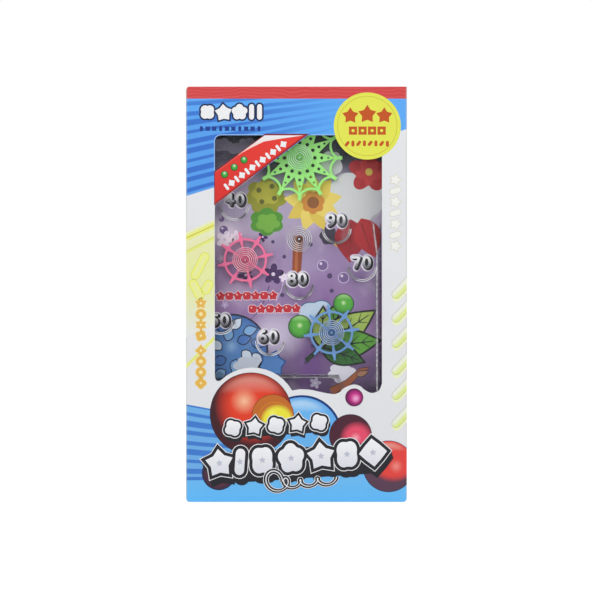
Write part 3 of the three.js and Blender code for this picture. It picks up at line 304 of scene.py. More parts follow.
@dataclass(frozen=True)
class CartonPrint:
    """Varnished print on the carton: red top, blue rays, pale middle, blue foot, grey inside."""

    name: str = "carton print"
    red_from: float = 228.2
    ray_x: float = 179.5
    ray_z: float = 246.4
    ray_end: float = 16.85
    ray_pitch: float = 1.24
    foot_x: float = 168.0
    foot_z: float = 11.7
    foot_end: float = 10.7
    foot_pitch: float = 1.33
    foot_right: float = 8.0
    sill: float = 12.2
    sill_rise: float = 4.2
    side_rise: float = 15.2
    side_end: float = 60.0
    half_width: float = 62.5
    half_depth: float = 15.05
    skin: float = 0.3
    roughness: float = 0.3

    def _rays(self, graph: Graph, angle: Term, pitch: float, spot: Term) -> Term:
        """Stripes by angle, 1 where they are dark, with uneven edges."""
        turns = (angle + graph.noise(spot, 0.03, 1.0) * 0.35) / pitch
        wave = graph.math("SINE", turns * TURN)
        slow = graph.math("SINE", turns * (TURN * 0.37))
        return graph.span(wave + slow * 0.55, -0.35, 0.35)

    def _angle(self, graph: Graph, down: Term, across: Term) -> Term:
        """An angle in degrees from two distances."""
        return graph.math("ARCTAN2", down, across) * (180 / math.pi)

    def _front(self, graph: Graph, spot: Term, x: Term, y: Term, z: Term) -> Term:
        """The print's colour: the body with its rays, its foot and its red top."""
        body = graph.mix(graph.noise(spot, 0.05, 2.0), ink(226, 228, 231), ink(235, 236, 238))
        angle = self._angle(graph, self.ray_z - z, self.ray_x - x)
        dark = self._rays(graph, angle, self.ray_pitch, spot) * graph.span(x, 46.0, -38.0)
        shade = graph.span(angle, 4.0, 9.0) * graph.span(x, 40.0, -55.0)
        dark = graph.math("ADD", dark * 0.72, shade * 0.22, clamp=True)
        blue = graph.mix(dark, ink(94, 172, 248), ink(48, 108, 204))
        inked = graph.mix(angle < self.ray_end, body, blue)
        foot = self._angle(graph, z - self.foot_z, self.foot_x - x)
        dark = self._rays(graph, foot, self.foot_pitch, spot) * graph.span(x, 6.0, -40.0)
        blue = graph.mix(dark * 0.9, ink(112, 178, 236), ink(56, 118, 206))
        behind = y > self.skin - self.half_depth
        inked = graph.mix((foot < self.foot_end) * ((x < self.foot_right) | behind), inked, blue)
        ahead = (x > 0.0) * (1.0 - behind)
        sill = (ahead | graph.span(x, 0.0, self.half_width)) * self.sill_rise + self.sill
        rise = graph.span(y, -self.half_depth, self.half_depth) * self.side_rise
        on_side = (x > self.half_width - self.skin) * (z > rise + (self.sill + self.sill_rise))
        inked = graph.mix(on_side * (z < self.side_end), inked, body)
        sky = graph.mix(graph.span(z, 0.0, 17.0), ink(102, 193, 254), ink(114, 192, 248))
        inked = graph.mix(z < sill, inked, sky)
        waves = {"Vector": spot, "Scale": 0.16, "Distortion": 9.0, "Detail": 2.0, "Detail Scale": 0.5}
        streak = graph.add("TexWave", waves, bands_direction="Z").outputs[0]
        red = graph.mix(graph.span(streak, 0.55, 0.95) * 0.35, ink(210, 66, 68), ink(228, 104, 100))
        return graph.mix(z > self.red_from, inked, red)

    def material(self) -> Material:
        """Builds the finish, with edges rubbed pale by wear outside and bare board inside."""
        graph = Graph(self.name)
        spot, x, y, z = graph.place()
        grain = graph.noise(spot, 0.9, 4.0)
        inked = self._front(graph, spot, x, y, z)
        wear_and_glint = graph.span(abs(x), self.half_width - self.skin, self.half_width) * graph.span(grain, 0.5, 0.62)
        wear_and_glint = wear_and_glint * graph.span(abs(y), self.half_depth - 0.4, self.half_depth)
        inked = graph.mix(wear_and_glint * 0.45, inked, ink(236, 234, 230))
        bare = graph.mix(graph.noise(spot, 1.6, 5.0), ink(186, 182, 174), ink(212, 208, 200))
        inside = (abs(x) < self.half_width - self.skin) * (abs(y) < self.half_depth - 0.06)
        return graph.finish(
            Base_Color=graph.mix(inside, inked, bare),
            Roughness=grain * 0.12 + inside * 0.4 + self.roughness,
            Normal=graph.bump(grain * 0.15 + graph.noise(spot, 0.07, 1.0), 0.25, 0.3),
            Specular_IOR_Level=PRINT_SHEEN,
        )


@dataclass(frozen=True)
class BoardFinish:
    """Carton board by its own colour: grey fibres inside, or one varnished ink outside."""

    name: str
    outer: Colour
    inner: Colour
    outer_from: float
    roughness: float = 0.35

    def material(self) -> Material:
        """Builds the finish, with the outer ink on faces above a height that look outward."""
        graph = Graph(self.name)
        spot, _, _, z = graph.place()
        fibre = graph.noise(spot, 1.4, 6.0)
        speck = graph.span(graph.noise(spot, 3.2, 2.0), 0.66, 0.74)
        bare = graph.mix(fibre, tuple(part * 0.86 for part in self.inner), self.inner)
        bare = graph.mix(speck * 0.3, bare, ink(140, 132, 120))
        _, back, up = graph.normal()
        printed = ((up | back * -1.0) > 0.5) * (z > self.outer_from)
        inked = graph.mix(graph.noise(spot, 0.08, 2.0), self.outer, tuple(part * 0.93 for part in self.outer))
        return graph.finish(
            Base_Color=graph.mix(printed, bare, inked),
            Roughness=fibre * 0.2 + self.roughness,
            Normal=graph.bump(fibre, 0.06),
            Specular_IOR_Level=PRINT_SHEEN,
        )


@dataclass(frozen=True)
class InkFinish:
    """Printed ink that takes its colour from the piece's own ink attribute."""

    name: str
    roughness: float

    def material(self) -> Material:
        """Builds the finish, with the faint grain of print on board."""
        graph = Graph(self.name)
        spot = graph.place()[0]
        grain = graph.noise(spot, 2.6, 4.0)
        colour = graph.add("Attribute", attribute_name="ink").outputs["Color"]
        tinted = graph.add("VectorMath", {0: colour, "Scale": grain * 0.09 + 0.955}, operation="SCALE")
        return graph.finish(
            Base_Color=tinted.outputs[0],
            Roughness=grain * 0.12 + self.roughness,
            Normal=graph.bump(graph.noise(spot, 0.07, 1.0), 0.2, 0.25),
            Specular_IOR_Level=PRINT_SHEEN,
        )


@dataclass(frozen=True)
class Glow:
    """A soft round patch of colour on the card."""

    x: float
    z: float
    wide: float
    tall: float
    colour: Colour
    strength: float


@dataclass(frozen=True)
class CardFinish:
    """Purple print of the playfield card, dark at its top, with painted shade towards its sides."""

    name: str = "playfield print"
    roughness: float = 0.42
    bands: tuple[tuple[float, Colour], ...] = (
        (58.0, ink(84, 64, 100)),
        (80.0, ink(112, 86, 130)),
        (102.0, ink(146, 112, 162)),
        (132.0, ink(152, 128, 172)),
        (160.0, ink(176, 162, 192)),
    )
    glows: tuple[Glow, ...] = (
        # The palest patch, left of the 40's cup, is print made brighter as painted light against the shade of the
        # window's left edge.
        Glow(-42.0, 153.0, 17.0, 14.0, ink(246, 236, 250), 0.9),
        Glow(-22.0, 158.0, 28.0, 20.0, ink(180, 168, 194), 0.6),
        Glow(-12.0, 95.0, 23.0, 20.0, ink(202, 192, 216), 0.95),
        Glow(-36.0, 118.0, 20.0, 12.0, ink(188, 170, 196), 0.6),
        Glow(4.0, 136.0, 16.0, 12.0, ink(184, 168, 204), 0.5),
        Glow(8.0, 74.0, 13.0, 24.0, ink(106, 64, 134), 0.8),
        Glow(16.0, 112.0, 10.0, 22.0, ink(128, 86, 150), 0.6),
        Glow(32.0, 112.0, 16.0, 10.0, ink(150, 128, 176), 0.5),
        Glow(2.0, 117.0, 10.0, 8.0, ink(112, 74, 138), 0.6),
        Glow(36.0, 127.0, 9.0, 8.0, ink(112, 84, 136), 0.55),
    )

    def _lit(self, graph: Graph, colour: Term, x: Term, z: Term, patch: Term) -> Term:
        """Lays the soft lights over a colour, with uneven rims."""
        uneven = (patch - 0.5) * 1.4
        for glow in self.glows:
            across, up = (x - glow.x) / glow.wide, (z - glow.z) / glow.tall
            out = graph.math("SQRT", abs(across) ** 2.0 + abs(up) ** 2.0)
            colour = graph.mix(graph.span(out + uneven, 1.0, 0.0) * glow.strength, colour, glow.colour)
        return colour

    def material(self) -> Material:
        """Builds the finish: lilac that deepens to purple downward, soft patches, a dark top and painted shade towards
        the sides, behind the window's edges.
        """
        graph = Graph(self.name)
        spot, x, _, z = graph.place()
        patch = graph.noise(spot, 0.03, 3.0)
        height = z + (patch - 0.5) * 46.0
        colour: Tint = self.bands[0][1]
        for (low, _), (high, tone) in zip(self.bands, self.bands[1:]):
            colour = graph.mix(graph.span(height, low, high), colour, tone)
        glow = graph.span(graph.noise(spot, 0.055, 2.0), 0.5, 0.78) * 0.5
        colour = self._lit(graph, graph.mix(glow, colour, ink(206, 190, 214)), x, z, patch)
        # Painted shade: the card darkens towards its sides, where it runs behind the window's edges.
        side_shaded = graph.mix(graph.span(abs(x), 43.0, 55.0) * 0.2, colour, ink(78, 66, 90))
        top = graph.span(z + patch * 26.0, 188.0, 212.0)
        cloud = graph.span(graph.noise(spot, 0.08, 2.0), 0.45, 0.6)
        slate = graph.mix(cloud, ink(46, 52, 66), ink(76, 72, 92))
        grain = graph.noise(spot, 2.4, 4.0)
        return graph.finish(
            Base_Color=graph.mix(top, side_shaded, slate),
            Roughness=grain * 0.1 + self.roughness,
            Normal=graph.bump(grain, 0.01),
            Specular_IOR_Level=PRINT_SHEEN,
        )


@dataclass(frozen=True)
class ClearFinish:
    """Clear polished plastic whose edges and slopes catch the light."""

    name: str = "clear plastic"
    flat_alpha: float = 0.012
    edge_alpha: float = 0.34
    roughness: float = 0.05

    def material(self) -> Material:
        """Builds the finish: nearly unseen where it faces forward, light at its slopes."""
        graph = Graph(self.name)
        streak = graph.noise(graph.place()[0], 0.04, 1.0)
        slope = graph.span(abs(graph.normal()[1]), 0.96, 0.35)
        strength = (streak * 0.3 + 0.8) * self.edge_alpha
        shade = graph.mix(streak, ink(250, 251, 254), ink(230, 232, 240))
        return graph.finish(
            Base_Color=graph.mix(slope, ink(240, 241, 246), shade),
            Roughness=streak * 0.06 + self.roughness,
            Alpha=graph.math("ADD", slope * strength, self.flat_alpha, clamp=True),
            IOR=PLASTIC_IOR,
        )


@dataclass(frozen=True)
class EdgeFinish:
    """A painted line of light or of shade along an edge of the clear cover, broken by darker specks."""

    name: str
    light: Colour = ink(250, 250, 253)
    dark: Colour = ink(92, 88, 104)
    specks: float = 0.6
    alpha: float = 0.5
    glow: float = 0.0
    broken: float = 0.0
    cell: float = 0.17
    roughness: float = 0.12

    def material(self) -> Material:
        """Builds the finish, fainter near the card and with stretches that fade out."""
        graph = Graph(self.name)
        spot, _, y, _ = graph.place()
        speckle = graph.span(graph.noise(spot, 0.8, 3.0), 0.5, 0.6)
        gap = graph.span(graph.noise(spot, self.cell, 1.0), 0.56, 0.44) * self.broken
        alpha = (1.0 - graph.span(y, -9.0, 0.0) * 0.55) * self.alpha
        # Painted glow: where glow is set, the bead gives off light though it is no lamp.
        lit = {"Emission_Color": self.light, "Emission_Strength": self.glow} if self.glow else {}
        return graph.finish(
            Base_Color=graph.mix(speckle * self.specks, self.light, self.dark),
            Roughness=self.roughness,
            Alpha=alpha * (1.0 - gap),
            Normal=graph.bump(speckle, 0.02),
            IOR=PLASTIC_IOR,
            **lit,
        )


@dataclass(frozen=True)
class TargetFinish:
    """Clear rings with a painted reflection that is bright towards the lower left and the upper right."""

    name: str
    least: float
    most: float
    light: Colour = ink(252, 252, 255)
    wheel_tint: float = 0.0

    def _wheel_tinted(self, graph: Graph, x: Term, z: Term, tone: Term, alpha: Term) -> tuple[Term, Term]:
        """The tone and the alpha with a painted tint of the wheel seen through each target."""
        wheels = (
            (x < -15.0, ink(250, 108, 150), 0.4),
            (z > 170.0, ink(146, 240, 132), 0.42),
            (x > 10.0, ink(70, 138, 206), 0.3),
        )
        # Painted tint: the clear target takes on the colour of the wheel seen through it.
        for share, colour, strength in wheels:
            tone = graph.mix(share, tone, colour)
            alpha = alpha + share * (self.wheel_tint * strength)
        return tone, alpha

    def material(self) -> Material:
        """Builds the finish."""
        graph = Graph(self.name)
        spot, x, _, z = graph.place()
        # Painted reflection: faces that turn towards the lower left or the upper right are paler and more opaque.
        facing = graph.add("NewGeometry").outputs["Normal"]
        flat = graph.add("VectorMath", {0: facing, 1: (1.0, 0.0, 1.0)}, operation="MULTIPLY").outputs[0]
        aim = graph.add("VectorMath", {0: flat}, operation="NORMALIZE").outputs[0]
        slant = graph.add("VectorMath", {0: aim, 1: (0.7071, 0.0, 0.7071)}, operation="DOT_PRODUCT")
        level = graph.math("ABSOLUTE", slant.outputs["Value"]) ** 1.6
        uneven = graph.span(graph.noise(spot, 0.3, 2.0), 0.3, 0.62)
        alpha = level * (uneven * 0.45 + 0.55) * (self.most - self.least) + self.least
        tone = graph.mix(level, between(self.light, (0.5, 0.5, 0.54), 0.2), self.light)
        if self.wheel_tint:
            tone, alpha = self._wheel_tinted(graph, x, z, tone, alpha)
        return graph.finish(Base_Color=tone, Roughness=uneven * 0.05 + 0.1, Alpha=alpha, IOR=PLASTIC_IOR)


@dataclass(frozen=True)
class PlasticFinish:
    """Moulded plastic with a faint flow pattern and a painted sheen that pales it where it turns from the view."""

    name: str
    colour: Colour
    deep: Colour
    roughness: float = 0.28
    alpha: float = 1.0
    glow: float = 0.0

    def material(self) -> Material:
        """Builds the finish."""
        graph = Graph(self.name)
        spot = graph.place()[0]
        # Painted sheen: the colour pales where the face turns away from the view.
        slope = graph.add("LayerWeight", {"Blend": 0.35}).outputs["Facing"]
        tone = graph.mix(graph.noise(spot, 0.22, 3.0) * 0.5, self.colour, self.deep)
        pale = between(self.colour, (1.0, 1.0, 1.0), 0.5)
        fine = graph.noise(spot, 1.8, 2.0)
        extra: dict[str, Any] = {"Alpha": self.alpha} if self.alpha < 1 else {}
        # Painted glow: the plastic gives off a little light of its own colour, though it is no lamp.
        if self.glow:
            extra.update(Emission_Color=self.colour, Emission_Strength=self.glow)
        return graph.finish(
            Base_Color=graph.mix(graph.math("MULTIPLY", slope, 0.3), tone, pale),
            Roughness=fine * 0.12 + self.roughness,
            Normal=graph.bump(fine, 0.02, 0.4),
            IOR=1.5,
            **extra,
        )


@dataclass(frozen=True)
class PinFinish:
    """Dark pin steel with a painted highlight where its crown faces the front."""

    name: str = "pin steel"
    dark: Colour = (0.035, 0.034, 0.036)
    bright: Colour = (0.85, 0.85, 0.86)

    def material(self) -> Material:
        """Builds the finish."""
        graph = Graph(self.name)
        spot = graph.place()[0]
        # Painted highlight: the steel turns bright only where the crown faces the front.
        wear_and_glint = abs(graph.normal()[1]) + graph.noise(spot, 1.2, 2.0) * 0.004
        return graph.finish(
            Base_Color=graph.mix(graph.span(wear_and_glint, 0.985, 0.999), self.dark, self.bright),
            Metallic=1.0,
            Roughness=graph.noise(spot, 3.0, 4.0) * 0.2 + 0.22,
            Normal=graph.bump(graph.noise(spot, 2.2, 3.0), 0.01),
        )


@dataclass(frozen=True)
class SteelFinish:
    """Bright or zinc-plated steel with fine scratches."""

    name: str
    colour: Colour
    roughness: float

    def material(self) -> Material:
        """Builds the finish."""
        graph = Graph(self.name)
        spot = graph.place()[0]
        stretched = graph.add("Mapping", {0: spot, 3: (1.0, 1.0, 9.0)}).outputs[0]
        scratch = graph.noise(stretched, 1.7, 5.0)
        dull = tuple(part * 0.85 for part in self.colour)
        return graph.finish(
            Base_Color=graph.mix(graph.noise(spot, 0.5, 2.0), dull, self.colour),
            Metallic=1.0,
            Roughness=graph.span(scratch, 0.45, 0.8) * 0.15 + self.roughness,
            Normal=graph.bump(scratch, 0.004, 0.3),
        )


# ---------------- shapes in the plane of a print


def away(spot: Point, reach: float, turn: float) -> Point:
    """The point at a distance from another, in a direction in degrees."""
    angle = math.radians(turn)
    return spot[0] + reach * math.cos(angle), spot[1] + reach * math.sin(angle)


def bend(centre: Point, across: float, up: float, start: float, end: float, steps: int = 14) -> list[Point]:
    """Part of an ellipse.

    Args:
        centre: its middle.
        across, up: its two radii.
        start, end: where the part starts and ends, in degrees.
        steps: how many pieces it has.

    Returns:
        The points along it.
    """
    turns = [math.radians(start + (end - start) * i / steps) for i in range(steps + 1)]
    return [(centre[0] + across * math.cos(turn), centre[1] + up * math.sin(turn)) for turn in turns]


def straight(*corners: Point, steps: int = 8) -> list[Point]:
    """A path through some corners, in a number of steps between each two."""
    path = [corners[0]]
    for (x0, z0), (x1, z1) in zip(corners, corners[1:]):
        path += [(x0 + (x1 - x0) * i / steps, z0 + (z1 - z0) * i / steps) for i in range(1, steps + 1)]
    return path


def star(centre: Point, points: int, outer: float, inner: float, turn: float = 90.0) -> list[Point]:
    """A star's outline.

    Args:
        centre: its middle.
        points: how many points it has.
        outer, inner: radii of its points and its valleys.
        turn: the direction of its first point in degrees.

    Returns:
        The outline, counter-clockwise.
    """
    return [away(centre, inner if i % 2 else outer, turn + 180 * i / points) for i in range(2 * points)]


def lobed(
    centre: Point, lobes: int, radius: float, depth: float, turn: float = 0.0, squash: float = 1.0, steps: int = 8
) -> list[Point]:
    """A rounded outline of lobes, such as a blossom, a cloud or, with no depth, an ellipse.

    Args:
        centre: its middle.
        lobes: how many lobes it has.
        radius: its mean radius across.
        depth: how much of the radius each lobe swings.
        turn: the direction of the first lobe in degrees.
        squash: its height as a share of its width.
        steps: points to a lobe.

    Returns:
        The outline, counter-clockwise.
    """
    outline = []
    for i in range(lobes * steps):
        angle = TURN * i / (lobes * steps)
        swing = abs(math.cos((angle - math.radians(turn)) * lobes / 2)) * 2 - 1
        reach = radius * (1 + depth * swing)
        outline.append((centre[0] + reach * math.cos(angle), centre[1] + squash * reach * math.sin(angle)))
    return outline


def capsule(centre: Point, length: float, width: float, turn: float = 0.0, steps: int = 8) -> list[Point]:
    """A bar with round ends.

    Args:
        centre: its middle.
        length, width: its sizes over all.
        turn: its direction in degrees.
        steps: facets of each end.

    Returns:
        The outline, counter-clockwise.
    """
    half, radius = (length - width) / 2, width / 2
    outline = []
    for side in (1, -1):
        first = turn - side * 90
        outline += bend(away(centre, side * half, turn), radius, radius, first, first + 180, steps)
    return outline


def leaf(foot: Point, length: float, width: float, turn: float, steps: int = 10) -> list[Point]:
    """A leaf or petal that grows from its foot.

    Args:
        foot: where it starts.
        length, width: its sizes.
        turn: its direction in degrees.
        steps: points along each edge.

    Returns:
        The outline, counter-clockwise.
    """
    along = Vector(away((0.0, 0.0), 1.0, turn))
    side = Vector((-along.y, along.x))
    outline = []
    for sign in (-1, 1):
        for i in range(steps):
            share = i / steps if sign < 0 else 1 - i / steps
            reach = sign * width / 2 * math.sin(math.pi * share**0.8)
            outline.append(tuple(Vector(foot) + along * length * share + side * reach))
    return outline


def grown(outline: Sequence[Point], amount: float) -> list[Point]:
    """An outline moved outward by an amount, with its sharpest corners kept short.

    Args:
        outline: the points, counter-clockwise.
        amount: how far each side moves.

    Returns:
        The moved outline.
    """
    moved = []
    for i, spot in enumerate(outline):
        before, here, after = Vector(outline[i - 1]), Vector(spot), Vector(outline[(i + 1) % len(outline)])
        first, second = (here - before).normalized(), (after - here).normalized()
        normal = Vector((first.y + second.y, -first.x - second.x))
        if normal.length < LEAST_LENGTH:
            normal = Vector((first.y, -first.x))
        normal.normalize()
        slant = max(normal.dot(Vector((first.y, -first.x))), LEAST_SLANT)
        moved.append(tuple(here + normal * (amount / slant)))
    return moved


@dataclass(frozen=True)
class Gloss:
    """Paint of a printed glossy ball, with its places as shares of its radius.

    Its body darkens outside a round patch round the heart, its top may carry a soft pale sky,
    and a small spark sits near its middle.
    """

    base: Colour
    dark: Colour
    shine: Colour
    haze: Colour = (0.9, 0.9, 0.9)
    heart: Point = (0.05, 0.1)
    reach: float = 0.62
    fall: float = 0.45
    sky: float = 0.0
    sky_from: float = 0.5
    spark: Point = (-0.02, 0.1)
    spark_size: float = 0.24
    rim: Colour = (0.01, 0.01, 0.02)
    lean: Point = (0.0, 0.0)
    sky_to: float = 0.95
    brim: float = 0.97
    brim_width: float = 0.12

    def paint(self, centre: Point, radius: float) -> Paint:
        """The paint for a ball.

        Args:
            centre, radius: the ball.

        Returns:
            A function from a place to its colour.
        """

        def tint(x: float, z: float) -> Colour:
            """The ball's colour at a place."""
            across, up = (x - centre[0]) / radius, (z - centre[1]) / radius
            far = math.hypot(across - self.heart[0], up - self.heart[1])
            colour = between(self.base, self.dark, max(0.0, (far - self.reach) / self.fall) ** 1.2)
            height = max(0.0, min((up - self.sky_from) / (self.sky_to - self.sky_from), 1.0))
            inside = max(0.0, min((self.brim - math.hypot(across, up)) / self.brim_width, 1.0))
            colour = between(colour, self.haze, self.sky * height**0.8 * inside)
            glint = max(0.0, 1 - math.hypot(across - self.spark[0], up - self.spark[1]) / self.spark_size)
            return between(colour, self.shine, 0.95 * glint**1.3)

        return tint

    def print_on(self, sheet: "PrintSheet", centre: Point, radius: float, layer: float, line: float = 0.3) -> None:
        """Prints the ball with its rim.

        Args:
            sheet: where it is printed.
            centre, radius: the ball.
            layer: how many layers lie below it.
            line: how wide its rim is.
        """
        inner = radius - line
        middle_of = (centre[0] + self.lean[0], centre[1] + self.lean[1])
        sheet.disc(centre, radius, layer, self.rim, sides=72)
        sheet.disc(middle_of, inner, layer + 0.7, self.paint(middle_of, inner), rings=18, sides=72)


RED_GLOSS = Gloss(
    ink(228, 62, 36), ink(60, 20, 30), ink(255, 200, 160), ink(222, 160, 146),
    heart=(0.06, 0.2), reach=0.54, fall=0.42, sky=0.85, spark=(-0.17, 0.31), spark_size=0.36,
)
YELLOW_GLOSS = Gloss(
    ink(240, 232, 64), ink(196, 108, 40), ink(250, 246, 110), heart=(0.22, -0.3), fall=0.24, rim=ink(120, 52, 24)
)
BLUE_GLOSS = Gloss(
    ink(106, 182, 242), ink(76, 148, 226), ink(200, 232, 252), ink(206, 234, 252),
    heart=(-0.02, -0.1), reach=0.86, sky=0.9, sky_from=0.62, spark_size=0.01, rim=ink(14, 52, 118), lean=(-0.3, -0.35),
)
CRIMSON_GLOSS = Gloss(
    ink(232, 78, 108), ink(72, 28, 46), ink(255, 176, 192),
    heart=(0.3, -0.12), reach=0.46, fall=0.36, spark=(0.24, -0.12), spark_size=0.3, rim=ink(40, 26, 48),
)
ORANGE_GLOSS = Gloss(
    ink(230, 70, 64), ink(88, 60, 80), ink(244, 150, 140), ink(236, 180, 168), heart=(0.2, 0.5), reach=0.88,
    fall=0.24, sky=0.9, sky_from=0.62, spark=(0.3, 0.0), spark_size=0.3, rim=ink(24, 52, 92),
)
MAGENTA_GLOSS = Gloss(
    ink(204, 50, 140), ink(104, 24, 84), ink(250, 186, 230),
    heart=(0.1, 0.0), reach=0.4, fall=0.55, spark=(0.18, -0.12), spark_size=0.6, rim=ink(84, 20, 72),
)
MAROON_GLOSS = Gloss(
    ink(100, 48, 62), ink(48, 36, 60), ink(130, 84, 96),
    heart=(0.0, -0.05), reach=0.5, spark_size=0.01, rim=ink(30, 46, 84),
)
GREY_GLOSS = Gloss(
    ink(196, 198, 206), ink(96, 98, 110), ink(255, 255, 255), spark=(-0.2, 0.25), spark_size=0.4, rim=ink(84, 86, 98)
)
GREEN_GLOSS = Gloss(
    ink(84, 176, 60), ink(40, 108, 40), ink(226, 250, 190), ink(206, 240, 170), sky=0.6, sky_from=0.45, spark_size=0.3
)
BEAD_GLOSS = Gloss(ink(62, 172, 66), ink(24, 96, 30), ink(240, 255, 230), spark=(0.0, 0.42), spark_size=0.6)
POND_GLOSS = Gloss(ink(76, 128, 190), ink(44, 86, 156), ink(150, 186, 224))


def plate(low: Point, high: Point, radius: float) -> list[Point]:
    """A rectangle with round corners, from its lowest and highest corners."""
    corners = ((high[0], high[1], 0), (low[0], high[1], 90), (low[0], low[1], 180), (high[0], low[1], 270))
    outline = []
    for x, z, start in corners:
        centre = (x - math.copysign(radius, x - low[0] - 1e-3), z - math.copysign(radius, z - low[1] - 1e-3))
        outline += bend(centre, radius, radius, start, start + 90, 8)
    return outline


def upright(low: float, high: float, stops: Sequence[Colour]) -> Paint:
    """Paint that changes evenly with height.

    Args:
        low, high: heights of the first and the last colour.
        stops: the colours from low to high.

    Returns:
        A function from a place to its colour.
    """

    def paint(_: float, z: float) -> Colour:
        """The colour at a height."""
        place = min(max((z - low) / (high - low), 0.0), 0.9999) * (len(stops) - 1)
        first = int(place)
        return between(stops[first], stops[first + 1], place - first)

    return paint


LOOPED = "04689"
LOOP_STEPS = 26
SIX = bend((0.24, -0.1), 0.48, 0.6, 104.0, 180.0) + bend((0.0, -0.2), 0.24, 0.27, 160.0, 515.0, LOOP_STEPS)
DIGITS: dict[str, list[list[Point]]] = {
    "0": [bend((0.0, 0.0), 0.24, 0.46, 90.0, 450.0, LOOP_STEPS)],
    "4": [straight((0.06, 0.46), (-0.26, -0.14), (0.28, -0.14)), straight((0.1, 0.46), (0.1, -0.46))],
    "5": [straight((0.22, 0.44), (-0.18, 0.44), (-0.2, 0.06)), bend((-0.02, -0.17), 0.25, 0.28, 128.0, -138.0, 22)],
    "6": [SIX],
    "7": [straight((-0.25, 0.44), (0.25, 0.44), (-0.04, -0.46))],
    "8": [
        bend((0.0, 0.24), 0.2, 0.22, 270.0, 630.0, LOOP_STEPS),
        bend((0.0, -0.22), 0.25, 0.25, 90.0, 450.0, LOOP_STEPS),
    ],
    "9": [[(-x, -z) for x, z in SIX]],
}


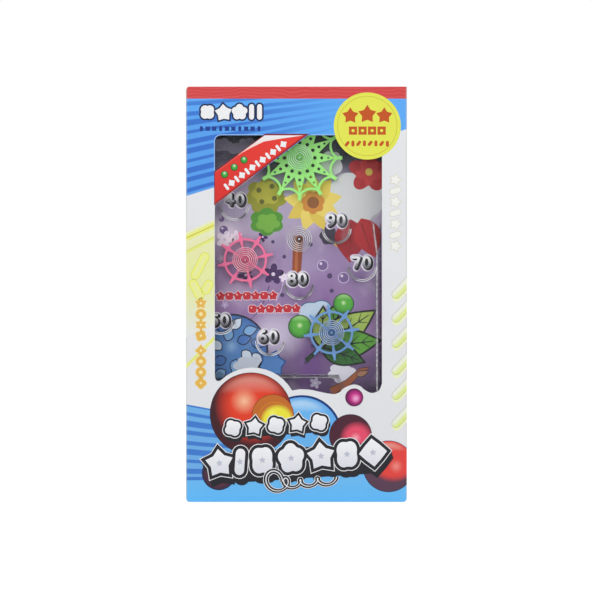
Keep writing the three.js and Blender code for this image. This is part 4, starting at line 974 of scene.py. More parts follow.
class PrintSheet:
    """Flat inks on a printed face, each a thin layer in front of the one it covers."""

    def __init__(self, name: str, face_y: float, step: float, turn: float = 0.0) -> None:
        """Starts an empty sheet.

        Args:
            name: the piece's name.
            face_y: the face that carries the print, in millimetres.
            step: how far each layer stands in front of the one below.
            turn: how far the finished sheet turns about the upright axis, in degrees.
        """
        self.name, self.face_y, self.step, self.turn = name, face_y, step, turn
        self.mesh = bmesh.new()
        self.ink = self.mesh.loops.layers.float_color.new("ink")

    def _face(self, corners: Sequence[Point], layer: float, paint: Paint) -> None:
        """Adds one face that looks to the front."""
        area = sum(a[0] * b[1] - b[0] * a[1] for a, b in zip(corners, [*corners[1:], corners[0]]))
        if abs(area) < LEAST_AREA:
            return
        ordered = list(corners) if area > 0 else list(reversed(corners))
        shade = paint.value if isinstance(paint, Ink) else paint
        y = (self.face_y - self.step * layer) * MM
        made = self.mesh.faces.new([self.mesh.verts.new((x * MM, y, z * MM)) for x, z in ordered])
        for loop, (x, z) in zip(made.loops, ordered):
            loop[self.ink] = (*(shade(x, z) if callable(shade) else shade), 1.0)

    def polygon(self, outline: Sequence[Point], layer: float, paint: Paint) -> None:
        """Adds one filled outline.

        Args:
            outline: its points.
            layer: how many layers lie below it.
            paint: its colour, or a function from a place to a colour.
        """
        for triple in tessellate_polygon([[Vector((x, z, 0.0)) for x, z in outline]]):
            self._face([outline[i] for i in triple], layer, paint)

    def polygons(self, *shapes: tuple[Sequence[Point], float, Paint]) -> None:
        """Adds several filled outlines, each with its layer and its paint."""
        for shape in shapes:
            self.polygon(*shape)

    def rimmed(self, outline: Sequence[Point], rim: float, layer: float, line: Paint, paint: Paint) -> None:
        """Adds a filled outline on a wider one.

        Args:
            outline: its points.
            rim: how far the wider one stands out.
            layer: how many layers lie below the wider one.
            line, paint: the colours of the wider one and of the outline.
        """
        self.polygon(grown(outline, rim), layer, line)
        self.polygon(outline, layer + 1, paint)

    def disc(
        self,
        centre: Point,
        radius: float,
        layer: float,
        paint: Paint,
        hole: float = 0.0,
        rings: int = 1,
        sides: int = 40,
    ) -> None:
        """Adds a disc or a ring, in narrow rings where its paint changes.

        Args:
            centre, radius: the disc.
            layer: how many layers lie below it.
            paint: its colour, or a function from a place to a colour.
            hole: the radius of a hole in its middle.
            rings: how many rings it is cut into.
            sides: facets of its rim.
        """
        turns = [360 * side / sides for side in range(sides + 1)]
        for ring in range(rings):
            inner, outer = (hole + (radius - hole) * (ring + end) / rings for end in (0, 1))
            for first, second in zip(turns, turns[1:]):
                corners = [away(centre, outer, first), away(centre, outer, second)]
                corners += [away(centre, inner, second), away(centre, inner, first)] if inner > 0 else [centre]
                self._face(corners, layer, paint)

    def stroke(self, path: Sequence[Point], width: float | Sequence[float], layer: float, paint: Paint) -> None:
        """Adds a line of a width, or of a width at each point, along a path."""
        widths = [width] * len(path) if isinstance(width, (int, float)) else list(width)
        edges = []
        for i, (here, wide) in enumerate(zip(path, widths)):
            along = Vector(path[min(i + 1, len(path) - 1)]) - Vector(path[max(i - 1, 0)])
            side = Vector((-along.y, along.x)).normalized() * wide / 2
            edges.append((tuple(Vector(here) + side), tuple(Vector(here) - side)))
        for i, ((a, b), (c, d)) in enumerate(zip(edges, edges[1:])):
            self._face([a, b, d, c], layer + STROKE_STEP * i, paint)

    def digits(
        self,
        number: str,
        centre: Point,
        height: float,
        weight: float,
        layer: float,
        paint: Paint,
        filled: bool = False,
    ) -> None:
        """Adds plain rounded digits.

        Args:
            number: the digits.
            centre: the middle of the number.
            height: how tall the lines' middles are.
            weight: how thick the lines are.
            layer: how many layers lie below them.
            paint: their colour, or a function from a place to a colour.
            filled: whether their closed loops are filled.
        """
        pitch, wide = height * 0.93, height * 1.14
        for place, digit in enumerate(number):
            x = centre[0] + (place - (len(number) - 1) / 2) * pitch
            for part, path in enumerate(DIGITS[digit]):
                moved = [(x + across * wide, centre[1] + up * height) for across, up in path]
                lift = layer + 0.4 * place + 0.2 * part
                self.stroke(moved, weight, lift, paint)
                if filled and digit in LOOPED:
                    self.polygon(moved[-LOOP_STEPS - 1 :], lift - 0.15, paint)
                for end, spot in enumerate((moved[0], moved[-1])):
                    self.disc(spot, weight / 2, lift - 0.05 * (end + 1), paint, sides=16)

    def trim(self, right: float) -> None:
        """Cuts away what lies beyond a place to the right."""
        everything = [*self.mesh.verts, *self.mesh.edges, *self.mesh.faces]
        plane = {"plane_co": (right * MM, 0, 0), "plane_no": (1, 0, 0)}
        bmesh.ops.bisect_plane(self.mesh, geom=everything, clear_outer=True, **plane)

    def made(self, finish: Material, slot: str) -> Piece:
        """Ends the sheet as a piece of the game.

        Args:
            finish: its material.
            slot: the record's material slot, which is not used.

        Returns:
            The piece.
        """
        self.mesh.transform(Matrix.Rotation(math.radians(self.turn), 4, "Z"))
        return piece_from(self.mesh, self.name, finish, Body.GAME)


# ---------------- pieces


def shown(piece: Piece) -> Piece:
    """Puts an object in the scene, once."""
    if piece.name not in bpy.context.scene.collection.objects:
        bpy.context.scene.collection.objects.link(piece)
    return piece


def piece_from(shape: bmesh.types.BMesh, name: str, finish: Material, body: Body) -> Piece:
    """A finished mesh as a piece that rides on a body.

    Args:
        shape: the mesh, which is freed.
        name: the piece's name.
        finish: its material.
        body: what it rides on.

    Returns:
        The piece.
    """
    mesh = bpy.data.meshes.new(name)
    shape.to_mesh(mesh)
    shape.free()
    return dressed(bpy.data.objects.new(name, mesh), finish, body)


def dressed(piece: Piece, finish: Material, body: Body) -> Piece:
    """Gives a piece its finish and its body."""
    shown(piece).data.materials.clear()
    piece.data.materials.append(finish)
    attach(piece, body.value)
    log.info("%s: %d faces on %s", piece.name, len(piece.data.polygons), body.value)
    return piece


def plain_mesh(holder: Piece) -> Mesh:
    """The mesh that an object's modifiers make."""
    bpy.context.view_layer.update()
    return bpy.data.meshes.new_from_object(holder.evaluated_get(bpy.context.evaluated_depsgraph_get()))


def repaint(finish: Material, *nodes: str) -> None:
    """Gives CAD nodes a better material."""
    for name in nodes:
        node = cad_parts[name]
        for held in node.material_slots:
            held.material = finish
        log.info("%s: %s", name, finish.name)


def softened(node: str, name: str, finish: Material, body: Body, rounding: float) -> Piece:
    """A merged copy of a CAD node with its sharp edges rounded, in the node's place.

    Args:
        node: the CAD node.
        name: the piece's name.
        finish: its material.
        body: what it rides on.
        rounding: the width of the rounding in millimetres, or 0 for none.

    Returns:
        The piece.
    """
    shape = bmesh.new()
    shape.from_mesh(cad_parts[node].data)
    bmesh.ops.remove_doubles(shape, verts=shape.verts, dist=0.002 * MM)
    bmesh.ops.dissolve_limit(shape, angle_limit=math.radians(0.5), verts=shape.verts, edges=shape.edges)
    piece = piece_from(shape, name, finish, body)
    piece.data.shade_smooth()
    piece.data.set_sharp_from_angle(angle=SHARP)
    if rounding:
        bevel = piece.modifiers.new("rounding", "BEVEL")
        bevel.width, bevel.segments = rounding * MM, 2
        bevel.limit_method, bevel.angle_limit = "ANGLE", SHARP
        rounded = plain_mesh(piece)
        piece.modifiers.clear()
        piece.data = rounded
    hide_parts(node)
    return piece


class Recipe:
    """A Geometry Nodes tree with named sizes, grown on a mesh of points."""

    def __init__(self, name: str, sizes: dict[str, float | int]) -> None:
        """Starts a tree.

        Args:
            name: the tree's name.
            sizes: its inputs and their values, in metres, or whole numbers.
        """
        self.sizes = sizes
        self.tree = bpy.data.node_groups.new(name, "GeometryNodeTree")
        face = self.tree.interface
        face.new_socket("Geometry", in_out="INPUT", socket_type="NodeSocketGeometry")
        for label, value in sizes.items():
            kind = "NodeSocketInt" if isinstance(value, int) else "NodeSocketFloat"
            face.new_socket(label, in_out="INPUT", socket_type=kind)
        face.new_socket("Geometry", in_out="OUTPUT", socket_type="NodeSocketGeometry")
        self.start = self.tree.nodes.new("NodeGroupInput")
        self.end = self.tree.nodes.new("NodeGroupOutput")
        self.points = self.start.outputs[0]

    def add(self, kind: str, inputs: dict[int | str, Any] | None = None, **settings: Any) -> Socket:
        """Adds one node; a text value that names a size is linked to that input.

        Args:
            kind: the node's type, without GeometryNode where it is one.
            inputs: values, sockets or names of sizes by the input's name or place.
            settings: the node's own settings.

        Returns:
            The node's first output.
        """
        made = self.tree.nodes.new(kind if "Node" in kind else "GeometryNode" + kind)
        for key, value in settings.items():
            setattr(made, key, value)
        for key, value in (inputs or {}).items():
            if isinstance(value, str) and value in self.start.outputs:
                value = self.start.outputs[value]
            if isinstance(value, Socket):
                self.tree.links.new(value, made.inputs[key])
            else:
                made.inputs[key].default_value = value
        return made.outputs[0]

    def joined(self, *parts: Socket) -> Socket:
        """Several geometries as one."""
        whole = self.add("JoinGeometry")
        for part in parts:
            self.tree.links.new(part, whole.node.inputs[0])
        return whole

    def tube(self, path: Socket, radius: str, sides: int) -> Socket:
        """A round bar along a path, by the name of its radius."""
        section = self.add("CurvePrimitiveCircle", {"Resolution": sides, "Radius": radius})
        return self.add("CurveToMesh", {"Curve": path, "Profile Curve": section, "Fill Caps": True})

    def moved(self, shape: Socket, **changes: Any) -> Socket:
        """A shape with another Translation, Rotation or Scale."""
        return self.add("Transform", {0: shape, **changes})

    def laid(self, shape: Socket, turn: float = 0.0) -> Socket:
        """A shape on each of the points, turned about X."""
        return self.add("InstanceOnPoints", {0: self.points, "Instance": shape, "Rotation": (turn, 0.0, 0.0)})

    def grow(self, shape: Socket, base: Mesh, finish: Material, name: str, slot: str, body: Body = Body.GAME) -> Piece:
        """Ends the tree and makes its result a piece with a plain mesh.

        Args:
            shape: the tree's last geometry.
            base: the mesh that it grows on.
            finish: its material.
            name: the piece's name.
            slot: the record's material slot, which is not used.
            body: what it rides on.

        Returns:
            The piece, with its place in its mesh.
        """
        smooth = self.add("SetShadeSmooth", {0: self.add("RealizeInstances", {0: shape})})
        painted = self.add("SetMaterial", {0: smooth, "Material": finish})
        self.tree.links.new(painted, self.end.inputs[0])
        holder = shown(bpy.data.objects.new(name + " holder", base))
        modifier = holder.modifiers.new("grow", "NODES")
        modifier.node_group = self.tree
        for item in self.tree.interface.items_tree:
            if item.in_out == "INPUT" and item.name in self.sizes:
                modifier[item.identifier] = self.sizes[item.name]
        drawn = plain_mesh(holder)
        drawn.name = name
        bpy.data.objects.remove(holder)
        return dressed(bpy.data.objects.new(name, drawn), finish, body)


def dots(spots: Sequence[Vector]) -> Mesh:
    """A mesh of bare points."""
    mesh = bpy.data.meshes.new("points")
    mesh.from_pydata([tuple(spot) for spot in spots], [], [])
    return mesh


def middle(node: str) -> Vector:
    """The middle of a CAD node's box."""
    low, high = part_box(node)
    return (low + high) / 2


# ---------------- sub-assemblies


@dataclass
class Studio:
    """Camera, lamps, floor and white surroundings."""

    camera_x: float = -0.26
    camera_z: float = 116.5
    distance: float = 1396.0
    front_y: float = -15.05
    lens: float = 150.0
    floor_half: float = 3000.0
    world_level: float = 0.7
    floor_drop: float = 0.2
    floor_glow: float = 0.62
    key_watts: float = 6.2
    fill_watts: float = 3.0

    def camera(self) -> None:
        """Sets the camera straight in front of the carton."""
        data = bpy.data.cameras.new("camera")
        data.lens, data.sensor_width = self.lens, 36.0
        data.clip_start, data.clip_end = 0.05, 20.0
        holder = shown(bpy.data.objects.new("camera", data))
        holder.location = (self.camera_x * MM, (self.front_y - self.distance) * MM, self.camera_z * MM)
        holder.rotation_euler = (math.pi / 2, 0.0, 0.0)
        bpy.context.scene.camera = holder

    def lamp(self, name: str, spot: tuple[float, float, float], watts: float, size: float) -> None:
        """Adds one soft lamp that points at the carton's middle.

        Args:
            name: the lamp's name.
            spot: its place in millimetres.
            watts: its power.
            size: its width in millimetres.
        """
        data = bpy.data.lights.new(name, "AREA")
        data.energy, data.size = watts, size * MM
        holder = shown(bpy.data.objects.new(name, data))
        holder.location = Vector(spot) * MM
        aim = Vector((0.0, 0.0, self.camera_z * MM)) - holder.location
        holder.rotation_euler = aim.to_track_quat("-Z", "Y").to_euler()

    def _seen(self, graph: Graph) -> Term:
        """1 for camera, glossy and transmission rays."""
        path = graph.add("LightPath").outputs
        return graph.math("MAXIMUM", path["Is Camera Ray"], path["Is Glossy Ray"]) | path["Is Transmission Ray"]

    def surroundings(self) -> None:
        """Lights the scene evenly and shows white behind it."""
        world = bpy.data.worlds.new("white")
        bpy.context.scene.world = world
        graph = Graph(world)
        white = graph.add("Background", {0: (1, 1, 1, 1), 1: 1.0})
        lit = graph.add("Background", {0: (1, 1, 1, 1), 1: self.world_level})
        both = graph.add("MixShader", {0: self._seen(graph), 1: lit.outputs[0], 2: white.outputs[0]})
        graph.tree.links.new(both.outputs[0], graph.output.inputs[0])

    def floor(self) -> None:
        """Lays a pale floor that looks white and keeps the carton's shadow."""
        graph = Graph("floor")
        plain = graph.add("BsdfDiffuse", {0: (0.75, 0.75, 0.76, 1.0)})
        white = graph.add("Emission", {0: (1, 1, 1, 1), 1: self.floor_glow})
        none = graph.add("Emission", {0: (0, 0, 0, 1), 1: 0.0})
        light = graph.add("MixShader", {0: self._seen(graph), 1: none.outputs[0], 2: white.outputs[0]})
        both = graph.add("AddShader", {0: plain.outputs[0], 1: light.outputs[0]})
        graph.tree.links.new(both.outputs[0], graph.output.inputs[0])
        half, drop = self.floor_half * MM, -self.floor_drop * MM
        corners = [(-half, -half, drop), (half, -half, drop), (half, half, drop), (-half, half, drop)]
        mesh = bpy.data.meshes.new("floor")
        mesh.from_pydata(corners, [], [(0, 1, 2, 3)])
        mesh.materials.append(graph.owner)
        holder = shown(bpy.data.objects.new("floor", mesh))

    def build(self) -> None:
        """Sets up everything round the object."""
        bpy.context.scene.view_settings.view_transform = "Standard"
        self.camera()
        self.surroundings()
        self.floor()
        self.lamp("key", (-420.0, -1400.0, 900.0), self.key_watts, 900.0)
        self.lamp("fill", (900.0, -1100.0, 300.0), self.fill_watts, 900.0)
        log.info("studio ready")


@dataclass
class Carton:
    """The carton: its boards and everything printed on it."""

    face_y: float = -15.05
    layer: float = 0.02
    edge_x: float = 62.45
    side_x: float = -62.5
    roundel: Point = (40.1, 212.7)
    roundel_radius: float = 19.0
    balls: tuple[tuple[Any, ...], ...] = (
        (BLUE_GLOSS, (3.1, 37.7), 22.7, 1.0, 0.85),
        (RED_GLOSS, (-25.7, 49.9), 23.3, 2.5),
        (YELLOW_GLOSS, (-13.3, 49.0), 11.9, 4.0),
        (ORANGE_GLOSS, (52.1, 20.1), 14.6, 2.5),
        (CRIMSON_GLOSS, (30.6, 37.5), 12.1, 4.0),
        (MAGENTA_GLOSS, (32.7, 59.1), 5.1, 2.5),
        (MAROON_GLOSS, (-43.9, 16.2), 9.6, 2.5),
    )
    capsule_heights: tuple[float, ...] = (117.3, 103.9, 89.6, 74.1, 60.2, 44.3)
    halo: tuple[Point, float, float] = ((-12.1, 47.0), 9.52, 9.2225)
    window_top: float = 207.5
    window_corner: float = 3.4

    def boards(self) -> None:
        """Dresses the carton's sleeve, lid, flaps and bottom."""
        grey, sky = ink(206, 202, 194), ink(103, 178, 234)
        bare = BoardFinish("bare board", grey, grey, 0.0, 0.7).material()
        flap = BoardFinish("flap board", ink(228, 228, 228), grey, 233.9, 0.5).material()
        repaint(CartonPrint().material(), "carton_sleeve")
        repaint(BoardFinish("lid board", ink(210, 66, 68), grey, 234.6).material(), "carton_lid")
        repaint(flap, "top_dust_flap_left", "top_dust_flap_right")
        repaint(bare, "carton_glue_flap", "bottom_inner_panel", "bottom_dust_flap_left", "bottom_dust_flap_right")
        repaint(BoardFinish("bottom board", sky, sky, 0.0).material(), "bottom_outer_panel")

    def _roundel(self, sheet: PrintSheet) -> None:
        """Prints the yellow roundel with its stars."""
        x, z = self.roundel
        radius = self.roundel_radius
        sheet.disc(self.roundel, radius, 2, Ink.YELLOW, sides=72)
        sheet.disc(self.roundel, radius * 0.893, 3, Ink.YELLOW_LINE, hole=radius * 0.878, sides=72)
        for place, size in ((-9.6, 4.8), (0.0, 5.4), (9.6, 4.8)):
            sheet.polygon(star((x + place, z + 6.6 - abs(place) * 0.08), 5, size, size * 0.58), 3, Ink.ORANGE)
        for i in range(4):
            spot = (x - 8.1 + 5.4 * i, z - 2.6)
            sheet.polygon(star(spot, 4, 3.3, 2.3, 45.0), 3 + 0.1 * i, Ink.ORANGE)
            sheet.disc(spot, 0.9, 4, Ink.YELLOW, sides=16)
        for i in range(8):
            spot = (x - 11.4 + 3.25 * i, z - 9.8 - 0.02 * (i - 3.5) ** 2)
            sheet.polygon(capsule(spot, 3.4, 1.7, 90.0 if i % 2 else 52.0), 3, Ink.ORANGE)

    def _band(self, sheet: PrintSheet) -> None:
        """Prints the slanting red band over the window's corner."""
        red = upright(168.0, 208.0, [ink(216, 44, 40), ink(232, 58, 48)])
        sheet.polygons(
            # The maroon rim stands partly for a printed outline and partly for painted shade on the board's cut edge.
            ([(-46.6, 167.85), (7.2, 208.3), (-17.6, 208.3), (-46.6, 187.0)], 1, ink(128, 34, 48)),
            ([(-46.1, 168.6), (5.4, 207.5), (-17.9, 207.5), (-46.1, 186.6)], 1.5, red),
            ([(-46.1, 169.4), (-46.1, 168.6), (5.4, 207.5), (4.2, 207.5)], 2, ink(176, 30, 30)),
        )
        shine = upright(196.0, 207.0, [ink(250, 190, 176), Ink.WHITE.value])
        bright = [(-33.9, 195.8), (-26.0, 200.2), (-18.4, 203.9), (-8.6, 205.6), (4.0, 207.4), (-17.9, 207.4)]
        sheet.polygon([*bright, (-26.0, 201.6)], 2, shine)
        sheet.stroke([(-46.0, 186.4), (-30.0, 198.1)], 0.3, 2.2, ink(240, 104, 90))
        for spot in ((-40.7, 185.3), (-35.2, 189.4), (-29.7, 193.5)):
            sheet.disc(spot, 2.15, 2, ink(52, 60, 34), sides=24)
            sheet.disc(spot, 1.9, 3, BEAD_GLOSS.paint(spot, 1.9), rings=6, sides=24)
        for i in range(12):
            spot = (-39.6 + 2.93 * i, 178.3 + 2.19 * i)
            outline = star(spot, 4, 2.3, 1.5, 37.0) if i % 2 else capsule(spot, 4.2, 1.6, 127.0)
            sheet.polygon(outline, 3, Ink.WHITE)

    def _top_left(self, sheet: PrintSheet) -> None:
        """Prints outlined stars and a row of dots on the blue rays."""
        chunks = (
            lobed((-50.4, 220.6), 4, 3.9, 0.12, 45.0),
            star((-41.3, 220.2), 5, 5.0, 3.4, 94.0),
            lobed((-32.2, 220.6), 5, 4.1, 0.12, 90.0),
            capsule((-25.4, 220.7), 8.8, 2.8, 90.0),
            capsule((-20.9, 220.7), 8.8, 2.8, 90.0),
        )
        for i, outline in enumerate(chunks):
            sheet.polygon(grown(outline, 0.95), 2 + 0.1 * i, ink(16, 38, 82))
            sheet.polygon(outline, 3, Ink.WHITE)
        for i in range(10):
            spot = (-53.8 + 3.62 * i, 211.2)
            outline = star(spot, 4, 1.9, 1.1, 45.0) if i % 3 else capsule(spot, 3.0, 1.7, 90.0)
            sheet.polygon(outline, 2, ink(16, 58, 138))

    def _margins(self, sheet: PrintSheet) -> None:
        """Prints the pale slanting bands and capsules of the left margin."""
        left, right, pitch = -62.4, -46.5, 4.7
        edge = (ink(234, 235, 238), ink(232, 236, 206), ink(232, 237, 176))
        shades = (*edge, ink(233, 238, 164), ink(234, 236, 182), ink(234, 236, 196))

        def band(foot: float, tip: float, wide: float, layer: float, paint: Paint) -> None:
            """Prints a slanting band from the carton's edge to the window's."""
            ends = ((-1, left, foot), (-1, right, tip), (1, right, tip), (1, left, foot))
            sheet.polygon([(x, z + side * wide / 2) for side, x, z in ends], layer, paint)

        for i in range(12):
            band(95.4 + pitch * i, 102.4 + pitch * i, pitch, 1, upright(93.0, 157.0, shades))
        glow = (ink(236, 238, 206), ink(235, 239, 166), ink(236, 240, 128), ink(200, 190, 74))
        for i, (wide, tint) in enumerate(zip((6.8, 4.6, 3.0, 0.55), glow)):
            band(149.3, 156.6, wide, 2 + 0.3 * i, tint)
        for i, (wide, tint) in enumerate(zip((2.8, 1.4), (ink(234, 238, 158), ink(232, 238, 128)))):
            band(141.2, 149.3, wide, 1.3 + 0.3 * i, tint)
            band(76.7, 92.6, wide, 1.3 + 0.3 * i, tint)
        band(141.9, 149.9, 0.35, 3.5, Ink.LIME_LINE)
        for x, z, length, turn in ((-54.6, 133.5, 17.0, 62.0), (-56.6, 120.0, 13.0, 118.0), (-50.5, 121.5, 9.0, 62.0)):
            outer = capsule((x, z), length, 5.4, turn)
            sheet.polygon(outer, 2, Ink.LIME_LINE)
            sheet.polygon(grown(outer, -0.25), 3, ink(240, 244, 124))
            sheet.polygon(grown(outer, -1.3), 4, ink(236, 240, 162))

    def _margin_shapes(self, sheet: PrintSheet) -> None:
        """Prints the gold shapes, the pale shapes and the slanting capsules down both sides."""
        for i in range(8):
            spot = (-54.1, 67.2 + 6.15 * i + (2.2 if i > 3 else 0.0))
            if i in (1, 2, 6):
                sheet.disc(spot, 3.2, 3, Ink.PALE_GOLD, sides=30)
                sheet.disc(spot, 2.95, 4, Ink.GOLD, hole=1.1, sides=30)
                continue
            outline = star(spot, 4 + i % 3, 3.4, 2.1, 90.0) if i % 2 else lobed(spot, 4, 2.8, 0.14, 15.0 * i)
            sheet.rimmed(outline, 0.3, 3, Ink.PALE_GOLD, Ink.GOLD)
            sheet.disc(spot, 0.7, 5, Ink.PALE_GOLD, sides=16)
        for i in range(7):
            spot = (56.0, 144.8 + 6.25 * i)
            outline = capsule(spot, 6.2, 3.0, 18.0) if i % 2 else star(spot, 5, 3.3, 1.9, 0.0)
            sheet.rimmed(outline, 0.3, 1, Ink.SHADOW_LINE, ink(244, 244, 238))
        for height in self.capsule_heights:
            spot = (62.8, height + 7.0)
            outer = capsule(spot, 24.0, 5.0, 47.0)
            sheet.polygon([(x + 0.3, z - 1.6) for x, z in outer], 1, ink(240, 244, 196))
            sheet.polygon(outer, 1.5, ink(186, 190, 176))
            sheet.polygon(grown(outer, -0.25), 2, self._slant(spot))
            sheet.polygon(capsule((62.3, height + 7.5), 20.0, 0.9, 47.0), 3, ink(240, 243, 224))

    def _slant(self, centre: Point) -> Paint:
        """Paint that turns from pale to lime across a slanting capsule."""
        pale, lime = ink(238, 240, 236), ink(222, 238, 112)
        return lambda x, z: between(pale, lime, 0.62 + 0.26 * (x - centre[0] - z + centre[1]))

    def _window_edge(self, sheet: PrintSheet) -> None:
        """Prints the light along the cut edge of the window's upper opening."""
        corner = (-46.2 + self.window_corner, self.window_top - self.window_corner)
        upper = straight((corner[0], 207.75), (-18.6, 207.75))
        cut = straight((-46.45, 187.4), (-46.45, corner[1])) + bend(corner, 3.65, 3.65, 180.0, 90.0) + upper
        for path in (cut, [(8.4, 207.75), (22.0, 207.75)]):
            sheet.stroke(path, 0.5, 1.2, ink(150, 194, 250))

    def _balls(self, sheet: PrintSheet) -> None:
        """Prints the glossy balls under the window, and a line round the yellow one's light."""
        for gloss, *ball in self.balls:
            gloss.print_on(sheet, *ball)
        centre, outer, inner = self.halo
        sheet.disc(centre, outer, 5.2, ink(216, 150, 44), hole=inner, sides=72)

    def _badge(self, sheet: PrintSheet, outline: Sequence[Point], edge: float, deep: float, lift: float) -> None:
        """Prints a white shape with a black edge, a white line round it and a thick black shadow."""
        steps = 4
        for i in range(steps):
            moved = [(x + 0.34 * deep * (1 - i / steps), z - deep * (1 - i / steps)) for x, z in grown(outline, edge)]
            sheet.polygon(moved, 7 + lift + 0.2 * i, Ink.BLACK)
        sheet.polygon(grown(outline, edge + 0.42), 8 + lift, Ink.WHITE)
        sheet.polygon(grown(outline, edge), 9 + lift, Ink.BLACK)
        low, high = min(z for _, z in outline), max(z for _, z in outline)
        sheet.polygon(outline, 10 + lift, upright(low, high, [ink(226, 228, 236), ink(250, 250, 252)]))

    def _title(self, sheet: PrintSheet) -> None:
        """Prints two slanting rows of chunky shapes."""
        sheet.polygon(capsule((-11.2, 41.4), 57.0, 7.4, 3.9), 6.8, Ink.BLACK)
        sheet.polygon(capsule((1.6, 22.0), 103.0, 17.4, 3.9), 10.7, Ink.BLACK)
        for i in range(5):
            spot = (-36.0 + 12.2 * i, 41.8 + 0.8 * i)
            outline = star(spot, 5, 5.2, 3.4, 84.0) if i % 2 else lobed(spot, 4, 4.4, 0.13, 30.0)
            self._badge(sheet, grown(outline, -0.2), 1.15, 2.4, 0.05 * i)
        kinds = (
            lambda spot: star(spot, 5, 8.6, 5.6, 96.0),
            lambda spot: capsule(spot, 15.6, 6.0, 86.0),
            lambda spot: lobed(spot, 4, 6.3, 0.1, 49.0, 1.24),
            lambda spot: lobed(spot, 5, 7.2, 0.1, 96.0, 1.12),
            lambda spot: star(spot, 4, 8.4, 6.2, 96.0),
        )
        row = ((-43.6, 0), (-32.0, 1), (-19.3, 2), (-3.0, 3), (13.9, 0), (28.6, 2), (43.3, 4))
        for i, (x, kind) in enumerate(row):
            spot = (x, 24.9 + 0.07 * x)
            self._badge(sheet, grown(kinds[kind](spot), -0.3), 1.8, 4.0, 4.0 + 0.05 * i)
            sheet.polygon(star(spot, 5, 2.0, 1.0, 96.0), 15.5, ink(196, 200, 214))

    def _loops(self, sheet: PrintSheet) -> None:
        """Prints the looped line below the rows, which swells and narrows as it goes."""
        path, widths = [], []
        steps, coiled, turns = 90, 34, 4.2
        for i in range(steps + 1):
            share, start = i / steps, min(i / coiled, 1.0)
            turn = share * turns * TURN
            size = 6.6 - 4.6 * start
            x = -14.5 + 36.5 * share**1.25 + size * math.cos(turn)
            path.append((x, 11.6 + 3.6 * share - 3.0 * start + size * 1.05 * math.sin(turn)))
            widths.append(0.9 + 0.75 * abs(math.sin(turn / 2 + 0.5)))
        sheet.stroke(path, [wide + 1.7 for wide in widths], 16, Ink.WHITE)
        sheet.stroke(path, [wide + 1.0 for wide in widths], 17, Ink.BLACK)
        sheet.stroke(path, [wide * 0.4 for wide in widths], 18, Ink.WHITE)

    def _back(self, finish: Material) -> None:
        """Prints the back: a pale panel with the three wheels and the ball's way, and balls below it."""
        sheet = PrintSheet("carton_back_print", self.face_y, self.layer, 180.0)
        panel = plate((-50.0, 66.0), (50.0, 172.0), 5.0)
        sheet.polygon(grown(panel, 0.9), 1, Ink.LIGHT_BLUE)
        sheet.polygon(panel, 2, ink(243, 244, 246))
        way = straight((34.0, 76.0), (34.0, 118.0)) + bend((0.0, 118.0), 34.0, 42.0, 0.0, 172.0, 40)
        sheet.stroke(way, 4.4, 3, ink(206, 222, 240))
        for share in (0.0, 0.16, 0.34, 0.5, 0.66, 0.84):
            GREY_GLOSS.print_on(sheet, way[int(share * (len(way) - 1))], 2.6, 4)
        sheet.polygon(star((0.0, 133.0), 12, 17.0, 8.4, 0.0), 5, ink(132, 214, 116))
        sheet.disc((0.0, 133.0), 2.2, 6, Ink.SLATE, sides=24)
        for spot, colour in (((-16.0, 100.0), ink(240, 110, 156)), ((14.0, 92.0), ink(112, 166, 230))):
            sheet.disc(spot, 10.4, 5, colour, hole=9.2, sides=48)
            for turn in range(10, 370, 45):
                spoke = capsule(away(spot, 7.0, turn), 12.6, 1.2, turn)
                sheet.polygon(spoke, 5.2 + 0.06 * (turn // 45), colour)
            sheet.disc(spot, 2.2, 6, Ink.SLATE, sides=24)
        balls = (
            (ORANGE_GLOSS, (18.0, 30.0), 16.0, 1.0),
            (RED_GLOSS, (-26.0, 36.0), 20.0, 2.2),
            (YELLOW_GLOSS, (-6.0, 30.0), 10.0, 3.6),
            (CRIMSON_GLOSS, (42.0, 24.0), 9.0, 2.2),
        )
        for gloss, *ball in balls:
            gloss.print_on(sheet, *ball)
        for i in range(5):
            spot = (-40.0 + 20.0 * i, 186.0)
            outline = star(spot, 5, 6.4, 4.0) if i % 2 else lobed(spot, 5, 5.2, 0.14, 90.0)
            sheet.rimmed(outline, 0.6, 1, Ink.PALE_GOLD, Ink.GOLD)
        sheet.made(finish, "printed_board")

    def _side(self, name: str, turn: float, finish: Material) -> None:
        """Prints one side: a column of slanting capsules between two balls."""
        sheet = PrintSheet(name, self.side_x, self.layer, turn)
        for i in range(7):
            outer = capsule((0.0, 76.0 + 15.0 * i), 13.0, 5.0, 46.0)
            lime = upright(70.0 + 15.0 * i, 82.0 + 15.0 * i, [ink(226, 234, 140), ink(240, 242, 206)])
            sheet.rimmed(outer, 0.4, 1, Ink.LIME_LINE, lime)
        ORANGE_GLOSS.print_on(sheet, (0.0, 52.0), 9.0, 1.0)
        MAGENTA_GLOSS.print_on(sheet, (0.0, 184.0), 5.0, 1.0)
        sheet.made(finish, "printed_board")

    def build(self) -> None:
        """Dresses the boards and prints the front, the back and the sides."""
        self.boards()
        sheet = PrintSheet("carton_front_print", self.face_y, self.layer)
        prints = (self._roundel, self._window_edge, self._band, self._top_left, self._margins, self._margin_shapes)
        for print_on in (*prints, self._balls, self._title, self._loops):
            print_on(sheet)
        sheet.trim(self.edge_x)
        finish = InkFinish("varnished ink", 0.3).material()
        sheet.made(finish, "printed_board")
        self._back(finish)
        self._side("carton_left_print", -90.0, finish)
        self._side("carton_right_print", 90.0, finish)


